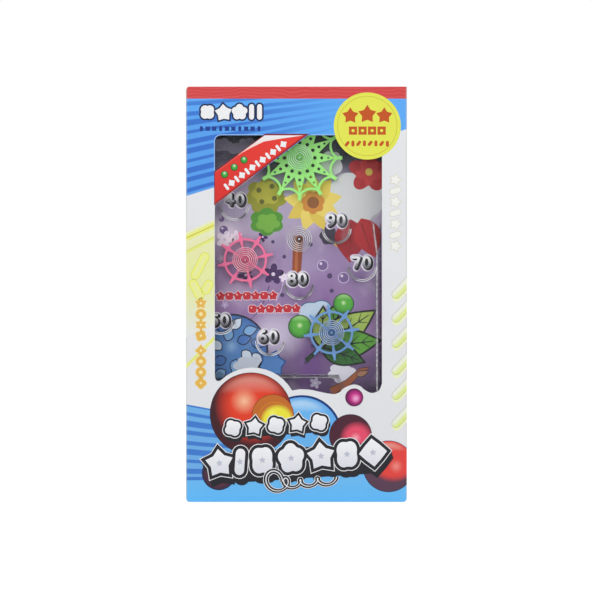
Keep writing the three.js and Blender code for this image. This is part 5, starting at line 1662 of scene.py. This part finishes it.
@dataclass
class Playfield:
    """The printed card behind the balls, with its scores."""

    face_y: float = 0.55
    layer: float = 0.012
    digit_height: float = 6.5
    digit_weight: float = 1.48
    scores: tuple[tuple[str, Point], ...] = (
        ("40", (-35.3, 171.7)),
        ("90", (22.5, 160.0)),
        ("80", (0.3, 126.4)),
        ("70", (37.1, 135.8)),
        ("60", (-16.4, 93.4)),
        ("50", (-44.2, 102.8)),
    )
    bubbles: tuple[tuple[Point, float], ...] = (
        ((15.0, 134.0), 2.9),
        ((27.0, 127.0), 2.9),
        ((-42.8, 160.5), 1.6),
        ((-41.6, 154.4), 2.4),
        ((19.0, 128.0), 1.5),
        ((-7.0, 139.0), 1.1),
        ((8.0, 146.0), 1.3),
        ((31.5, 146.5), 1.3),
        ((-8.2, 117.0), 1.2),
        ((9.5, 88.0), 1.4),
        ((-30.0, 116.5), 1.1),
        ((20.2, 119.5), 1.2),
        ((36.0, 84.0), 1.3),
        ((5.5, 78.5), 1.2),
        ((-13.5, 147.5), 1.0),
    )

    def _plants(self, sheet: PrintSheet) -> None:
        """Prints clouds, shrubs, flowers and leaves."""
        for spot, size in (((-43.0, 203.0), 6.0), ((-35.0, 201.0), 5.0), ((-28.0, 203.5), 5.5)):
            sheet.polygon(lobed(spot, 6, size, 0.1, 10.0, 0.6), 1 + size * 0.05, ink(132, 126, 150))
        sheet.polygons(
            (lobed((32.6, 171.5), 8, 16.8, 0.05, 20.0, 0.92), 1, ink(188, 188, 196)),
            (lobed((33.6, 172.5), 8, 15.6, 0.05, 20.0, 0.92), 2, ink(216, 218, 220)),
            (lobed((20.0, 192.0), 5, 6.0, 0.1, 50.0, 1.2), 1, ink(206, 206, 212)),
            (lobed((41.5, 187.5), 5, 9.6, 0.26, 15.0), 3, Ink.PETAL_RED),
            (lobed((41.5, 187.5), 5, 6.0, 0.3, 51.0), 4, ink(202, 58, 58)),
            (leaf((31.0, 160.5), 25.0, 18.0, -91.0), 3, ink(156, 30, 40)),
            (leaf((37.0, 161.0), 24.0, 16.0, -70.0), 4, Ink.PETAL_RED),
            ([(-2.6, 129.0), (2.6, 129.0), (4.0, 151.0), (-1.8, 151.0)], 1, ink(148, 72, 38)),
            ([(-1.2, 129.0), (0.4, 129.0), (1.4, 151.0), (-0.2, 151.0)], 2, ink(184, 104, 58)),
            (lobed((18.5, 151.0), 6, 5.0, 0.08, 0.0), 2.2, ink(54, 50, 66)),
            (leaf((20.0, 149.5), 13.0, 7.0, -22.0), 1.5, ink(226, 186, 92)),
            (lobed((9.5, 170.0), 7, 6.2, 0.1, 12.0), 4, ink(208, 138, 56)),
            (lobed((-17.6, 173.5), 7, 11.0, 0.12, 35.0, 0.86), 1, ink(146, 148, 38)),
            (lobed((-17.0, 175.5), 6, 8.0, 0.12, 5.0, 0.8), 2, ink(176, 172, 54)),
            (lobed((-17.0, 159.0), 6, 9.2, 0.1, 30.0, 0.8), 2, ink(78, 146, 44)),
            (lobed((-16.4, 158.4), 5, 6.2, 0.16, 60.0, 0.8), 3, ink(116, 176, 62)),
        )
        sheet.disc((41.5, 187.5), 2.1, 5, Ink.FLOWER, sides=20)
        for foot, turn in (((31.0, 158.0), -91.0), ((37.0, 158.0), -70.0)):
            sheet.stroke([foot, away(foot, 18, turn)], [0.6, 0.2], 5, ink(110, 18, 28))
        for i in range(9):
            petal = leaf((9.5, 170.0), 17.0, 9.4, 40.0 * i + 12.0)
            sheet.polygon(petal, 2.3 + i * 0.1, Ink.FLOWER if i % 2 else ink(238, 214, 106))
        sheet.disc((9.5, 170.0), 3.4, 5, ink(140, 86, 40), sides=24)
        for spot in ((-21.5, 177.0), (-14.0, 179.2), (-12.6, 172.4), (-19.8, 170.4)):
            sheet.disc(spot, 1.5, 3, ink(96, 98, 26), sides=14)

    def _blossoms(self, sheet: PrintSheet) -> None:
        """Prints small blossoms in white and plum."""
        small = (
            ((-41.0, 148.8), 5.2, ink(252, 243, 255)),
            ((-34.5, 150.5), 3.6, ink(248, 240, 252)),
            ((-43.0, 138.0), 2.4, Ink.PALE_CLOUD),
            ((-19.3, 150.3), 3.0, Ink.PLUM),
            ((-13.3, 129.0), 6.2, Ink.PLUM),
            ((-7.2, 127.4), 3.0, ink(240, 230, 248)),
            ((-41.0, 111.5), 2.2, Ink.LILAC),
            ((10.8, 66.8), 3.4, Ink.PALE_CLOUD),
            ((17.0, 108.5), 2.2, Ink.LILAC),
            ((-29.0, 128.5), 4.4, Ink.PLUM),
            ((44.0, 156.0), 2.0, Ink.LILAC),
        )
        for i, (spot, size, colour) in enumerate(small):
            sheet.polygon(lobed(spot, 5, size * 0.74, 0.36, 21.0 * i), 1.5, colour)
            sheet.disc(spot, size * 0.18, 2.5, ink(222, 214, 232), sides=12)
        sheet.stroke([(-15.5, 122.5), (-20.0, 110.0), (-26.0, 103.0)], [0.5, 0.45, 0.2], 1.2, Ink.PLUM)
        sheet.stroke([(-7.4, 124.8), (-9.0, 119.0), (-12.0, 113.0)], [0.4, 0.4, 0.2], 1.2, ink(208, 198, 222))

    def _beads(self, sheet: PrintSheet) -> None:
        """Prints two rows of red beads."""
        pitch, size = 5.0, 2.3
        for row, ((x, z), count) in enumerate((((-43.4, 116.4), 7), ((-25.2, 109.0), 6))):
            for i in range(count):
                spot = (x + pitch * i, z + 0.06 * i)
                outline = lobed(spot, 4, size, 0.1, 45.0) if (i + row) % 2 else star(spot, 5, size * 1.28, size * 0.85)
                sheet.rimmed(outline, 0.4, 3, ink(226, 206, 220), ink(196, 34, 48))
                sheet.disc((spot[0] - 0.6, spot[1] + 0.8), 0.5, 5, ink(255, 190, 190), sides=10)

    def _pond(self, sheet: PrintSheet) -> None:
        """Prints the round blue pattern at the lower left."""
        centre = (-37.0, 85.5)
        sheet.disc(centre, 20.9, 1, ink(12, 20, 48), sides=56)
        sheet.disc(centre, 19.8, 2, POND_GLOSS.paint(centre, 19.8), rings=8, sides=56)
        blues = (ink(214, 228, 242), ink(66, 116, 186), ink(128, 176, 222))
        for ring, count in ((6.2, 6), (12.4, 11)):
            for i in range(count):
                turn = 360 * i / count + math.degrees(ring)
                blade = leaf(away(centre, ring, turn), 7.6, 5.0, turn - 40)
                sheet.rimmed(blade, 0.6, 3.2 + 0.05 * i, ink(14, 26, 60), blues[i % 3])
        sheet.polygon(lobed((-27.0, 76.5), 6, 8.6, 0.1, 0.0, 0.6), 5.5, ink(206, 214, 228))
        sheet.polygon(star((-14.0, 77.5), 6, 8.6, 6.2, 12.0), 5.5, ink(40, 84, 150))
        sheet.polygon(star((-14.0, 77.5), 6, 7.2, 5.2, 12.0), 6.2, ink(84, 138, 204))

    def _foliage(self, sheet: PrintSheet) -> None:
        """Prints outlined leaves at the lower right, a cloud and a twig."""
        foot = (14.5, 87.5)
        sheet.polygon(lobed((12.0, 103.5), 6, 12.0, 0.08, 10.0, 0.86), 1.2, ink(74, 104, 140))
        sheet.polygon(lobed((12.0, 103.5), 6, 11.3, 0.08, 10.0, 0.86), 1.4, ink(196, 216, 234))
        sheet.stroke([(5.5, 79.5), foot, (30.0, 97.0)], [3.0, 2.2, 1.2], 1.5, ink(20, 40, 24))
        blades = (
            (62.0, 31.0, 15.0, Ink.LEAF),
            (34.0, 36.0, 16.0, Ink.PALE_LEAF),
            (6.0, 33.0, 16.0, Ink.LEAF),
            (-20.0, 25.0, 12.0, Ink.DEEP_LEAF),
            (88.0, 22.0, 11.0, Ink.PALE_LEAF),
        )
        for i, (turn, length, width, shade) in enumerate(blades):
            blade = leaf(foot, length, width, turn)
            sheet.polygon(grown(blade, 1.1), 1.6 + i * 0.4, ink(14, 26, 18))
            sheet.polygon(blade, 1.8 + i * 0.4, shade)
            sheet.stroke([foot, away(foot, length * 0.9, turn)], [1.4, 0.5], 1.9 + i * 0.4, ink(18, 36, 22))
            for share in (0.3, 0.5, 0.7):
                root, reach = away(foot, length * share, turn), width * 0.42 * math.sin(math.pi * share)
                for side in (38.0, -38.0):
                    vein = [root, away(root, reach, turn + side)]
                    sheet.stroke(vein, [0.7, 0.3], 1.93 + i * 0.4, ink(22, 46, 28))
        for spot, size in (((2.0, 99.0), 6.8), ((27.0, 112.0), 6.0)):
            sheet.disc(spot, size, 4.4, ink(24, 54, 28), sides=36)
            sheet.disc(spot, size * 0.93, 4.8, GREEN_GLOSS.paint(spot, size), rings=8, sides=36)
        sheet.polygon(lobed((26.0, 72.5), 6, 7.4, 0.12, 15.0, 0.72), 1.2, ink(226, 224, 236))
        twig = [(20.0, 62.0), (29.0, 66.5), (37.0, 74.0)]
        sheet.stroke([*twig, (41.5, 75.5)], [5.0, 4.2, 3.0, 1.2], 1.8, ink(60, 34, 30))
        sheet.stroke([*twig, (41.2, 75.3)], [4.2, 3.4, 2.2, 0.6], 2.2, Ink.BARK)
        sheet.polygon(leaf((34.0, 71.0), 8.0, 4.0, 18.0), 2.4, ink(60, 34, 30))
        sheet.polygon(leaf((34.4, 71.1), 7.0, 3.0, 18.0), 2.8, ink(168, 122, 92))

    def _spots(self, sheet: PrintSheet) -> None:
        """Prints bubbles with pale rims."""
        for spot, size in self.bubbles:
            sheet.disc(spot, size, 1.4, ink(120, 96, 146) if size > 1.5 else ink(74, 58, 100), sides=24)
            if size > 1.5:
                sheet.disc(spot, size * 1.12, 1.7, ink(206, 190, 222), hole=size * 0.96, sides=24)
                sheet.disc((spot[0] - size * 0.35, spot[1] + size * 0.35), size * 0.28, 2, ink(224, 214, 236), sides=12)

    def _scores(self, sheet: PrintSheet) -> None:
        """Prints each score: a pale edge, a black edge with its shadow, then the chrome digits."""
        tall, weight, black = self.digit_height, self.digit_weight, ink(14, 12, 18)
        stops = (ink(84, 82, 92), ink(118, 118, 126), ink(176, 176, 184))
        stops += (ink(236, 236, 240), ink(252, 252, 254), ink(226, 227, 232))
        for number, (x, z) in self.scores:
            sheet.digits(number, (x + 0.4, z - 0.3), tall, weight + 2.6, 8, ink(226, 218, 234))
            sheet.digits(number, (x + 0.95, z - 0.55), tall, weight + 0.9, 10, black)
            sheet.digits(number, (x + 0.4, z - 0.2), tall, weight + 0.7, 12, black, True)
            sheet.digits(number, (x, z), tall, weight, 14, upright(z - tall * 0.6, z + tall * 0.6, stops))

    def build(self) -> None:
        """Dresses the card and the deck and prints the card."""
        deck = PlasticFinish("deck plastic", ink(214, 214, 219), ink(196, 196, 202), 0.45)
        repaint(CardFinish().material(), "playfield_card")
        repaint(deck.material(), "playfield_deck")
        sheet = PrintSheet("playfield_print", self.face_y, self.layer)
        prints = (self._plants, self._blossoms, self._beads, self._pond, self._foliage, self._spots, self._scores)
        for print_on in prints:
            print_on(sheet)
        sheet.made(InkFinish("card ink", 0.4).material(), "printed_card")


@dataclass
class Housing:
    """Rear case, clear cover, screws and pins."""

    edge_radius: float = 0.19
    edge_angle: float = 34.0
    face_y: float = -10.05
    target_radius: float = 7.3
    target_spots: tuple[Point, ...] = ((1.846, 195.33), (-29.213, 137.097), (19.982, 95.658), (1.575, 148.88))
    first_ring: float = 2.55
    ring_pitch: float = 1.1
    ring_rises: tuple[float, ...] = (0.77, 0.64, 0.51, 0.38, 0.25)
    ring_radius: float = 0.2
    cup_spots: tuple[Point, ...] = (
        (-35.4, 168.07),
        (22.91, 154.76),
        (1.52, 122.81),
        (37.58, 133.17),
        (-15.1, 90.64),
        (-43.33, 102.86),
    )
    cup_radius: float = 7.2
    cup_wall: float = 1.3
    cup_lip: float = 0.24
    rib_y: float = 0.3
    line_y: float = 0.5
    divider_line: tuple[Point, ...] = ((46.1, 62.0), (46.1, 140.5), (43.9, 158.0))
    lane_line: tuple[Point, ...] = ((47.9, 66.0), (47.9, 158.0))
    shelf_line: tuple[Point, ...] = ((-22.0, 69.9), (24.2, 69.9))
    pillar_line: tuple[Point, ...] = ((-1.5, 70.1), (-0.9, 70.3))
    pin_radius: float = 1.0
    head_radius: float = 1.5
    head: float = 1.2
    slot: float = 0.5
    slot_turn: float = 1.1

    def _nearest(self, place: Vector, spots: Sequence[Point]) -> float:
        """How far a place, in metres, is from the nearest of some spots, in millimetres."""
        return min(math.hypot(place.x / MM - x, place.z / MM - z) for x, z in spots)

    def _on_target(self, place: Vector) -> bool:
        """Whether a place on the cover belongs to a ring target."""
        near = self._nearest(place, self.target_spots) < self.target_radius
        return near and place.y / MM < self.face_y + 0.02

    def _split(self, base: Mesh, on_target: bool) -> bmesh.types.BMesh:
        """The cover's faces that belong to the ring targets, or all the others."""
        shape = bmesh.new()
        shape.from_mesh(base)
        rest = [face for face in shape.faces if self._on_target(face.calc_center_median()) != on_target]
        bmesh.ops.delete(shape, geom=rest, context="FACES")
        return shape

    def cover(self) -> None:
        """Dresses the clear cover and its ring targets."""
        clear = ClearFinish().material()
        moulding = softened("clear_cover", "clear_cover_moulding", clear, Body.GAME, 0.0)
        whole = moulding.data.copy()
        kept = self._split(moulding.data, False)
        kept.to_mesh(moulding.data)
        kept.free()
        # The target faces carry a painted reflection and a painted tint of the wheel behind.
        wheel_tinted = TargetFinish("target faces", 0.01, 0.06, wheel_tint=1.0).material()
        faces = piece_from(self._split(whole, True), "ring_target_faces", wheel_tinted, Body.GAME)
        faces.data.shade_smooth()
        self._edges(moulding.data.copy())
        # White rings are painted highlights on the crests; dark rings are painted shade between them.
        rings = TargetFinish("target rings", 0.28, 0.74).material()
        grooves = TargetFinish("target grooves", 0.22, 0.44, ink(46, 38, 50)).material()
        self._rings("rings", rings, self.first_ring, self.ring_radius, 0.0)
        self._rings("grooves", grooves, self.first_ring - self.ring_pitch / 2, self.ring_radius * 0.9, 0.15)

    def beads(self) -> None:
        """Grows painted highlights, painted glow and painted shade lines along the cups, the divider, the shelf and the
        lane.
        """
        # Painted highlights on the cups' lips and rims, painted shade lines between them and a painted glow in the
        # walls.
        lip = EdgeFinish("cup lip highlight", specks=0.1, alpha=0.76, glow=0.62, broken=0.85, cell=0.11).material()
        line = EdgeFinish("cup line shade", ink(104, 98, 116), ink(84, 80, 96), 0.5, 0.5, broken=0.6).material()
        wall = EdgeFinish("cup wall glow", specks=0.0, alpha=0.2, glow=0.4, broken=0.6).material()
        self._cups("cup_lip_highlights", lip, self.cup_wall - self.cup_lip, self.cup_lip)
        self._cups("cup_rim_highlights", lip, self.cup_lip / 2, self.cup_lip * 0.7)
        self._cups("cup_line_shade", line, self.cup_wall * 0.45, self.cup_lip * 0.7)
        self._cups("cup_wall_glow", wall, self.cup_wall / 2, self.cup_wall / 2)
        # Painted highlights on the divider, the pillar and the shelf; painted shade along the lane and under the shelf.
        bright = EdgeFinish("line light", specks=0.6, alpha=0.7, glow=0.45, broken=0.5, cell=0.5).material()
        shelf = EdgeFinish("shelf light", specks=0.2, alpha=0.34, glow=0.3, broken=0.4).material()
        shade = EdgeFinish("line shade", ink(24, 22, 30), ink(150, 146, 156), 0.4, 1.0, broken=0.95, cell=0.6)
        below = EdgeFinish("shelf shade", ink(60, 50, 70), alpha=0.7).material()
        self._line("divider_light", bright, 0.5, self.divider_line)
        self._line("pillar_light", bright, 0.6, self.pillar_line)
        self._line("shelf_light", shelf, 0.45, self.shelf_line)
        self._line("lane_shade", shade.material(), 0.3, self.lane_line)
        self._line("shelf_shade", below, 0.18, [(x, z + 0.9) for x, z in self.shelf_line])

    def _cups(self, name: str, finish: Material, out: float, thick: float) -> None:
        """Grows a half-round bead along each cup: a painted highlight, a painted glow or a painted shade line.

        Args:
            name: the piece's name.
            finish: its material.
            out: how far the bead stands out from the cup's hollow.
            thick: the radius of its section.
        """
        recipe = Recipe(name, {"Rim Radius": (self.cup_radius + out) * MM, "Section": thick * MM})
        half = {"Resolution": 40, "Radius": "Rim Radius", "Start Angle": math.pi, "Sweep Angle": math.pi}
        rim = recipe.tube(recipe.add("CurveArc", half, mode="RADIUS"), "Section", 10)
        spots = [Vector((x, self.rib_y - thick, z)) * MM for x, z in self.cup_spots]
        recipe.grow(recipe.laid(rim, math.pi / 2), dots(spots), finish, name, CLEAR_SLOT)

    def _line(self, name: str, finish: Material, thick: float, path: Sequence[Point]) -> None:
        """Grows one bead along a path in front of the card, as a painted highlight or a painted shade line.

        Args:
            name: the piece's name.
            finish: its material.
            thick: the bead's radius.
            path: the points that it passes.
        """
        base = bpy.data.meshes.new(name)
        spots = [Vector((x, self.line_y - thick, z)) * MM for x, z in path]
        base.from_pydata(spots, [(i, i + 1) for i in range(len(path) - 1)], [])
        recipe = Recipe(name, {"Bead Radius": thick * MM})
        bead = recipe.tube(recipe.add("MeshToCurve", {0: recipe.points}), "Bead Radius", 10)
        recipe.grow(bead, base, finish, name, CLEAR_SLOT)

    def _edges(self, base: Mesh) -> None:
        """Grows thin pale beads along the cover's sharp edges, apart from the cups', as painted highlights."""
        shape = bmesh.new()
        shape.from_mesh(base)
        reach = self.cup_radius + self.cup_wall + 0.4
        near = [spot for spot in shape.verts if self._nearest(spot.co, self.cup_spots) < reach]
        bmesh.ops.delete(shape, geom=near, context="VERTS")
        shape.to_mesh(base)
        shape.free()
        sizes = {"Edge Radius": self.edge_radius * MM, "Least Angle": math.radians(self.edge_angle)}
        recipe = Recipe("cover edge highlights", sizes)
        angle = {0: recipe.add("InputMeshEdgeAngle"), 1: "Least Angle"}
        sharp = recipe.add("FunctionNodeCompare", angle, data_type="FLOAT", operation="GREATER_THAN")
        beads = recipe.tube(recipe.add("MeshToCurve", {0: recipe.points, "Selection": sharp}), "Edge Radius", 6)
        # Painted highlights along the cover's edges.
        finish = EdgeFinish("clear plastic edge highlight", specks=0.3).material()
        recipe.grow(beads, base, finish, "clear_cover_edge_highlights", CLEAR_SLOT)

    def _rings(self, name: str, finish: Material, first: float, thick: float, drop: float) -> None:
        """Grows thin rings on each target: painted highlights on the crests, or painted shade set back between them.

        Args:
            name: the rings' name.
            finish: their material.
            first: the radius of the first.
            thick: the radius of their section.
            drop: how far they stand behind the crests.
        """
        sizes: dict[str, float | int] = {"Ring Radius": thick * MM}
        for i, rise in enumerate(self.ring_rises):
            sizes[f"Radius {i}"] = (first + self.ring_pitch * i) * MM
            sizes[f"Rise {i}"] = (rise - thick - drop) * MM
        recipe = Recipe("target " + name, sizes)
        rings = []
        for i in range(len(self.ring_rises)):
            path = recipe.add("CurvePrimitiveCircle", {"Resolution": 72, "Radius": f"Radius {i}"})
            rise = recipe.add("ShaderNodeCombineXYZ", {2: f"Rise {i}"})
            rings.append(recipe.moved(recipe.tube(path, "Ring Radius", 8), Translation=rise))
        target = recipe.laid(recipe.joined(*rings), math.pi / 2)
        spots = [Vector((x, self.face_y, z)) * MM for x, z in self.target_spots]
        recipe.grow(target, dots(spots), finish, "ring_target_" + name, CLEAR_SLOT)

    def pins(self, finish: Material) -> None:
        """Grows round pins with domed, slotted heads in place of the plain ones."""
        names = ("star_wheel_pin", "pink_wheel_pin", "blue_wheel_pin", "centre_pin")
        low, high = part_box(names[0])
        length, head, top = high.y - low.y, self.head * MM, (high.y - low.y) / 2
        flat, width, cut = self.head / (2 * self.head_radius), self.head_radius * 4 * MM, self.slot * MM
        sizes = {"Shank Radius": self.pin_radius * MM, "Length": length - head, "Head Radius": self.head_radius * MM}
        recipe = Recipe("pins", sizes)
        shank = recipe.add("MeshCylinder", {"Vertices": 28, "Radius": "Shank Radius", "Depth": "Length"})
        crown = recipe.add("MeshUVSphere", {"Segments": 28, "Rings": 14, "Radius": "Head Radius"})
        domed = recipe.moved(crown, Scale=(1.0, 1.0, flat), Translation=(0.0, 0.0, top - head / 2))
        blade = recipe.add("MeshCube", {"Size": (width, cut, cut)})
        raised = recipe.moved(blade, Translation=(0.0, 0.0, top), Rotation=(0.0, 0.0, self.slot_turn))
        slotted = recipe.add("MeshBoolean", {0: domed, 1: raised}, operation="DIFFERENCE")
        whole = recipe.joined(recipe.moved(shank, Translation=(0.0, 0.0, -head / 2)), slotted)
        spots = dots([middle(name) for name in names])
        piece = recipe.grow(recipe.laid(whole, math.pi / 2), spots, finish, "pivot_pins", STEEL_SLOT)
        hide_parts(*names)

    def build(self) -> None:
        """Dresses the housing."""
        case = PlasticFinish("case plastic", ink(126, 106, 168), ink(108, 90, 150), 0.35)
        places = [f"{height}_{side}" for height in ("top", "middle", "bottom") for side in ("left", "right")]
        repaint(case.material(), "rear_case")
        self.cover()
        self.beads()
        zinc = SteelFinish("zinc steel", (0.45, 0.46, 0.48), 0.35).material()
        repaint(zinc, *[f"case_screw_{place}" for place in places])
        self.pins(PinFinish().material())


@dataclass
class Wheels:
    """The three wheels that the balls turn."""

    rounding: float = 0.16

    def build(self) -> None:
        """Rounds and dresses each wheel."""
        # The green and pink wheels carry a little painted glow, though they are no lamps.
        green = PlasticFinish("green plastic", ink(154, 233, 122), ink(120, 207, 98), 0.25, glow=0.14)
        pink = PlasticFinish("pink plastic", ink(244, 112, 158), ink(224, 84, 132), 0.25, glow=0.06)
        blue = PlasticFinish("blue plastic", ink(120, 172, 232), ink(86, 146, 218), 0.22, alpha=0.8)
        softened("star_wheel", "star_wheel_moulding", green.material(), Body.STAR, self.rounding)
        softened("pink_web_wheel", "pink_web_moulding", pink.material(), Body.PINK_WEB, self.rounding)
        softened("blue_web_wheel", "blue_web_moulding", blue.material(), Body.BLUE_WEB, self.rounding)


@dataclass
class Plunger:
    """The plunger: knob, rod, striker and the spring round the rod."""

    rounding: float = 0.3
    travel: float = 9.0
    turns: float = 7.0
    coil_radius: float = 2.3
    wire: float = 0.55

    def spring(self, finish: Material) -> None:
        """Winds a round wire in place of the plain spring."""
        low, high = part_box("plunger_spring")
        tall = high.z - low.z
        sizes = {
            "Turns": self.turns,
            "Coil Radius": self.coil_radius * MM,
            "Height": tall - self.wire * MM,
            "Wire Radius": self.wire * MM / 2,
            "Steps": 36,
        }
        recipe = Recipe("spring", sizes)
        coil = {"Resolution": "Steps", "Rotations": "Turns", "Height": "Height"}
        path = recipe.add("CurveSpiral", {**coil, "Start Radius": "Coil Radius", "End Radius": "Coil Radius"})
        wound = recipe.laid(recipe.tube(path, "Wire Radius", 12))
        foot = Vector(((low.x + high.x) / 2, (low.y + high.y) / 2, low.z + self.wire * MM / 2))
        piece = recipe.grow(wound, dots([foot]), finish, "plunger_spring_wire", STEEL_SLOT)
        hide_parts("plunger_spring")
        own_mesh(piece)

    def build(self) -> None:
        """Dresses the plunger."""
        knob = PlasticFinish("knob plastic", ink(214, 60, 62), ink(184, 40, 46), 0.3).material()
        steel = SteelFinish("bright steel", (0.72, 0.72, 0.74), 0.14).material()
        softened("plunger_knob", "plunger_knob_turned", knob, Body.PLUNGER, self.rounding)
        softened("plunger_striker", "plunger_striker_turned", knob, Body.PLUNGER, self.rounding / 2)
        repaint(steel, "plunger_rod")
        self.spring(steel)


@dataclass
class Balls:
    """The six steel balls."""

    diameter: float = 6.35
    fineness: int = 5

    def _grow(self, nodes: Sequence[str], name: str, body: Body, finish: Material) -> None:
        """Grows smooth balls in place of some nodes' plain ones."""
        recipe = Recipe(name, {"Ball Radius": self.diameter / 2 * MM, "Fineness": self.fineness})
        ball = recipe.add("MeshIcoSphere", {"Radius": "Ball Radius", "Subdivisions": "Fineness"})
        spots = dots([middle(node) for node in nodes])
        piece = recipe.grow(recipe.laid(ball), spots, finish, name, "ball_steel", body)
        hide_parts(*nodes)

    def build(self) -> None:
        """Makes the balls."""
        finish = SteelFinish("ball steel", (0.78, 0.78, 0.8), 0.06).material()
        self._grow(["launch_ball"], "launch_ball_polished", Body.LAUNCHED, finish)
        self._grow([f"waiting_ball_{i}" for i in range(1, 6)], "waiting_balls_polished", Body.WAITING, finish)


def main() -> None:
    """Builds the studio and every sub-assembly in order."""
    for part in (Studio(), Carton(), Playfield(), Housing(), Wheels(), Plunger(), Balls()):
        part.build()
        log.info("%s done", type(part).__name__)


if __name__ == "__main__":
    main()
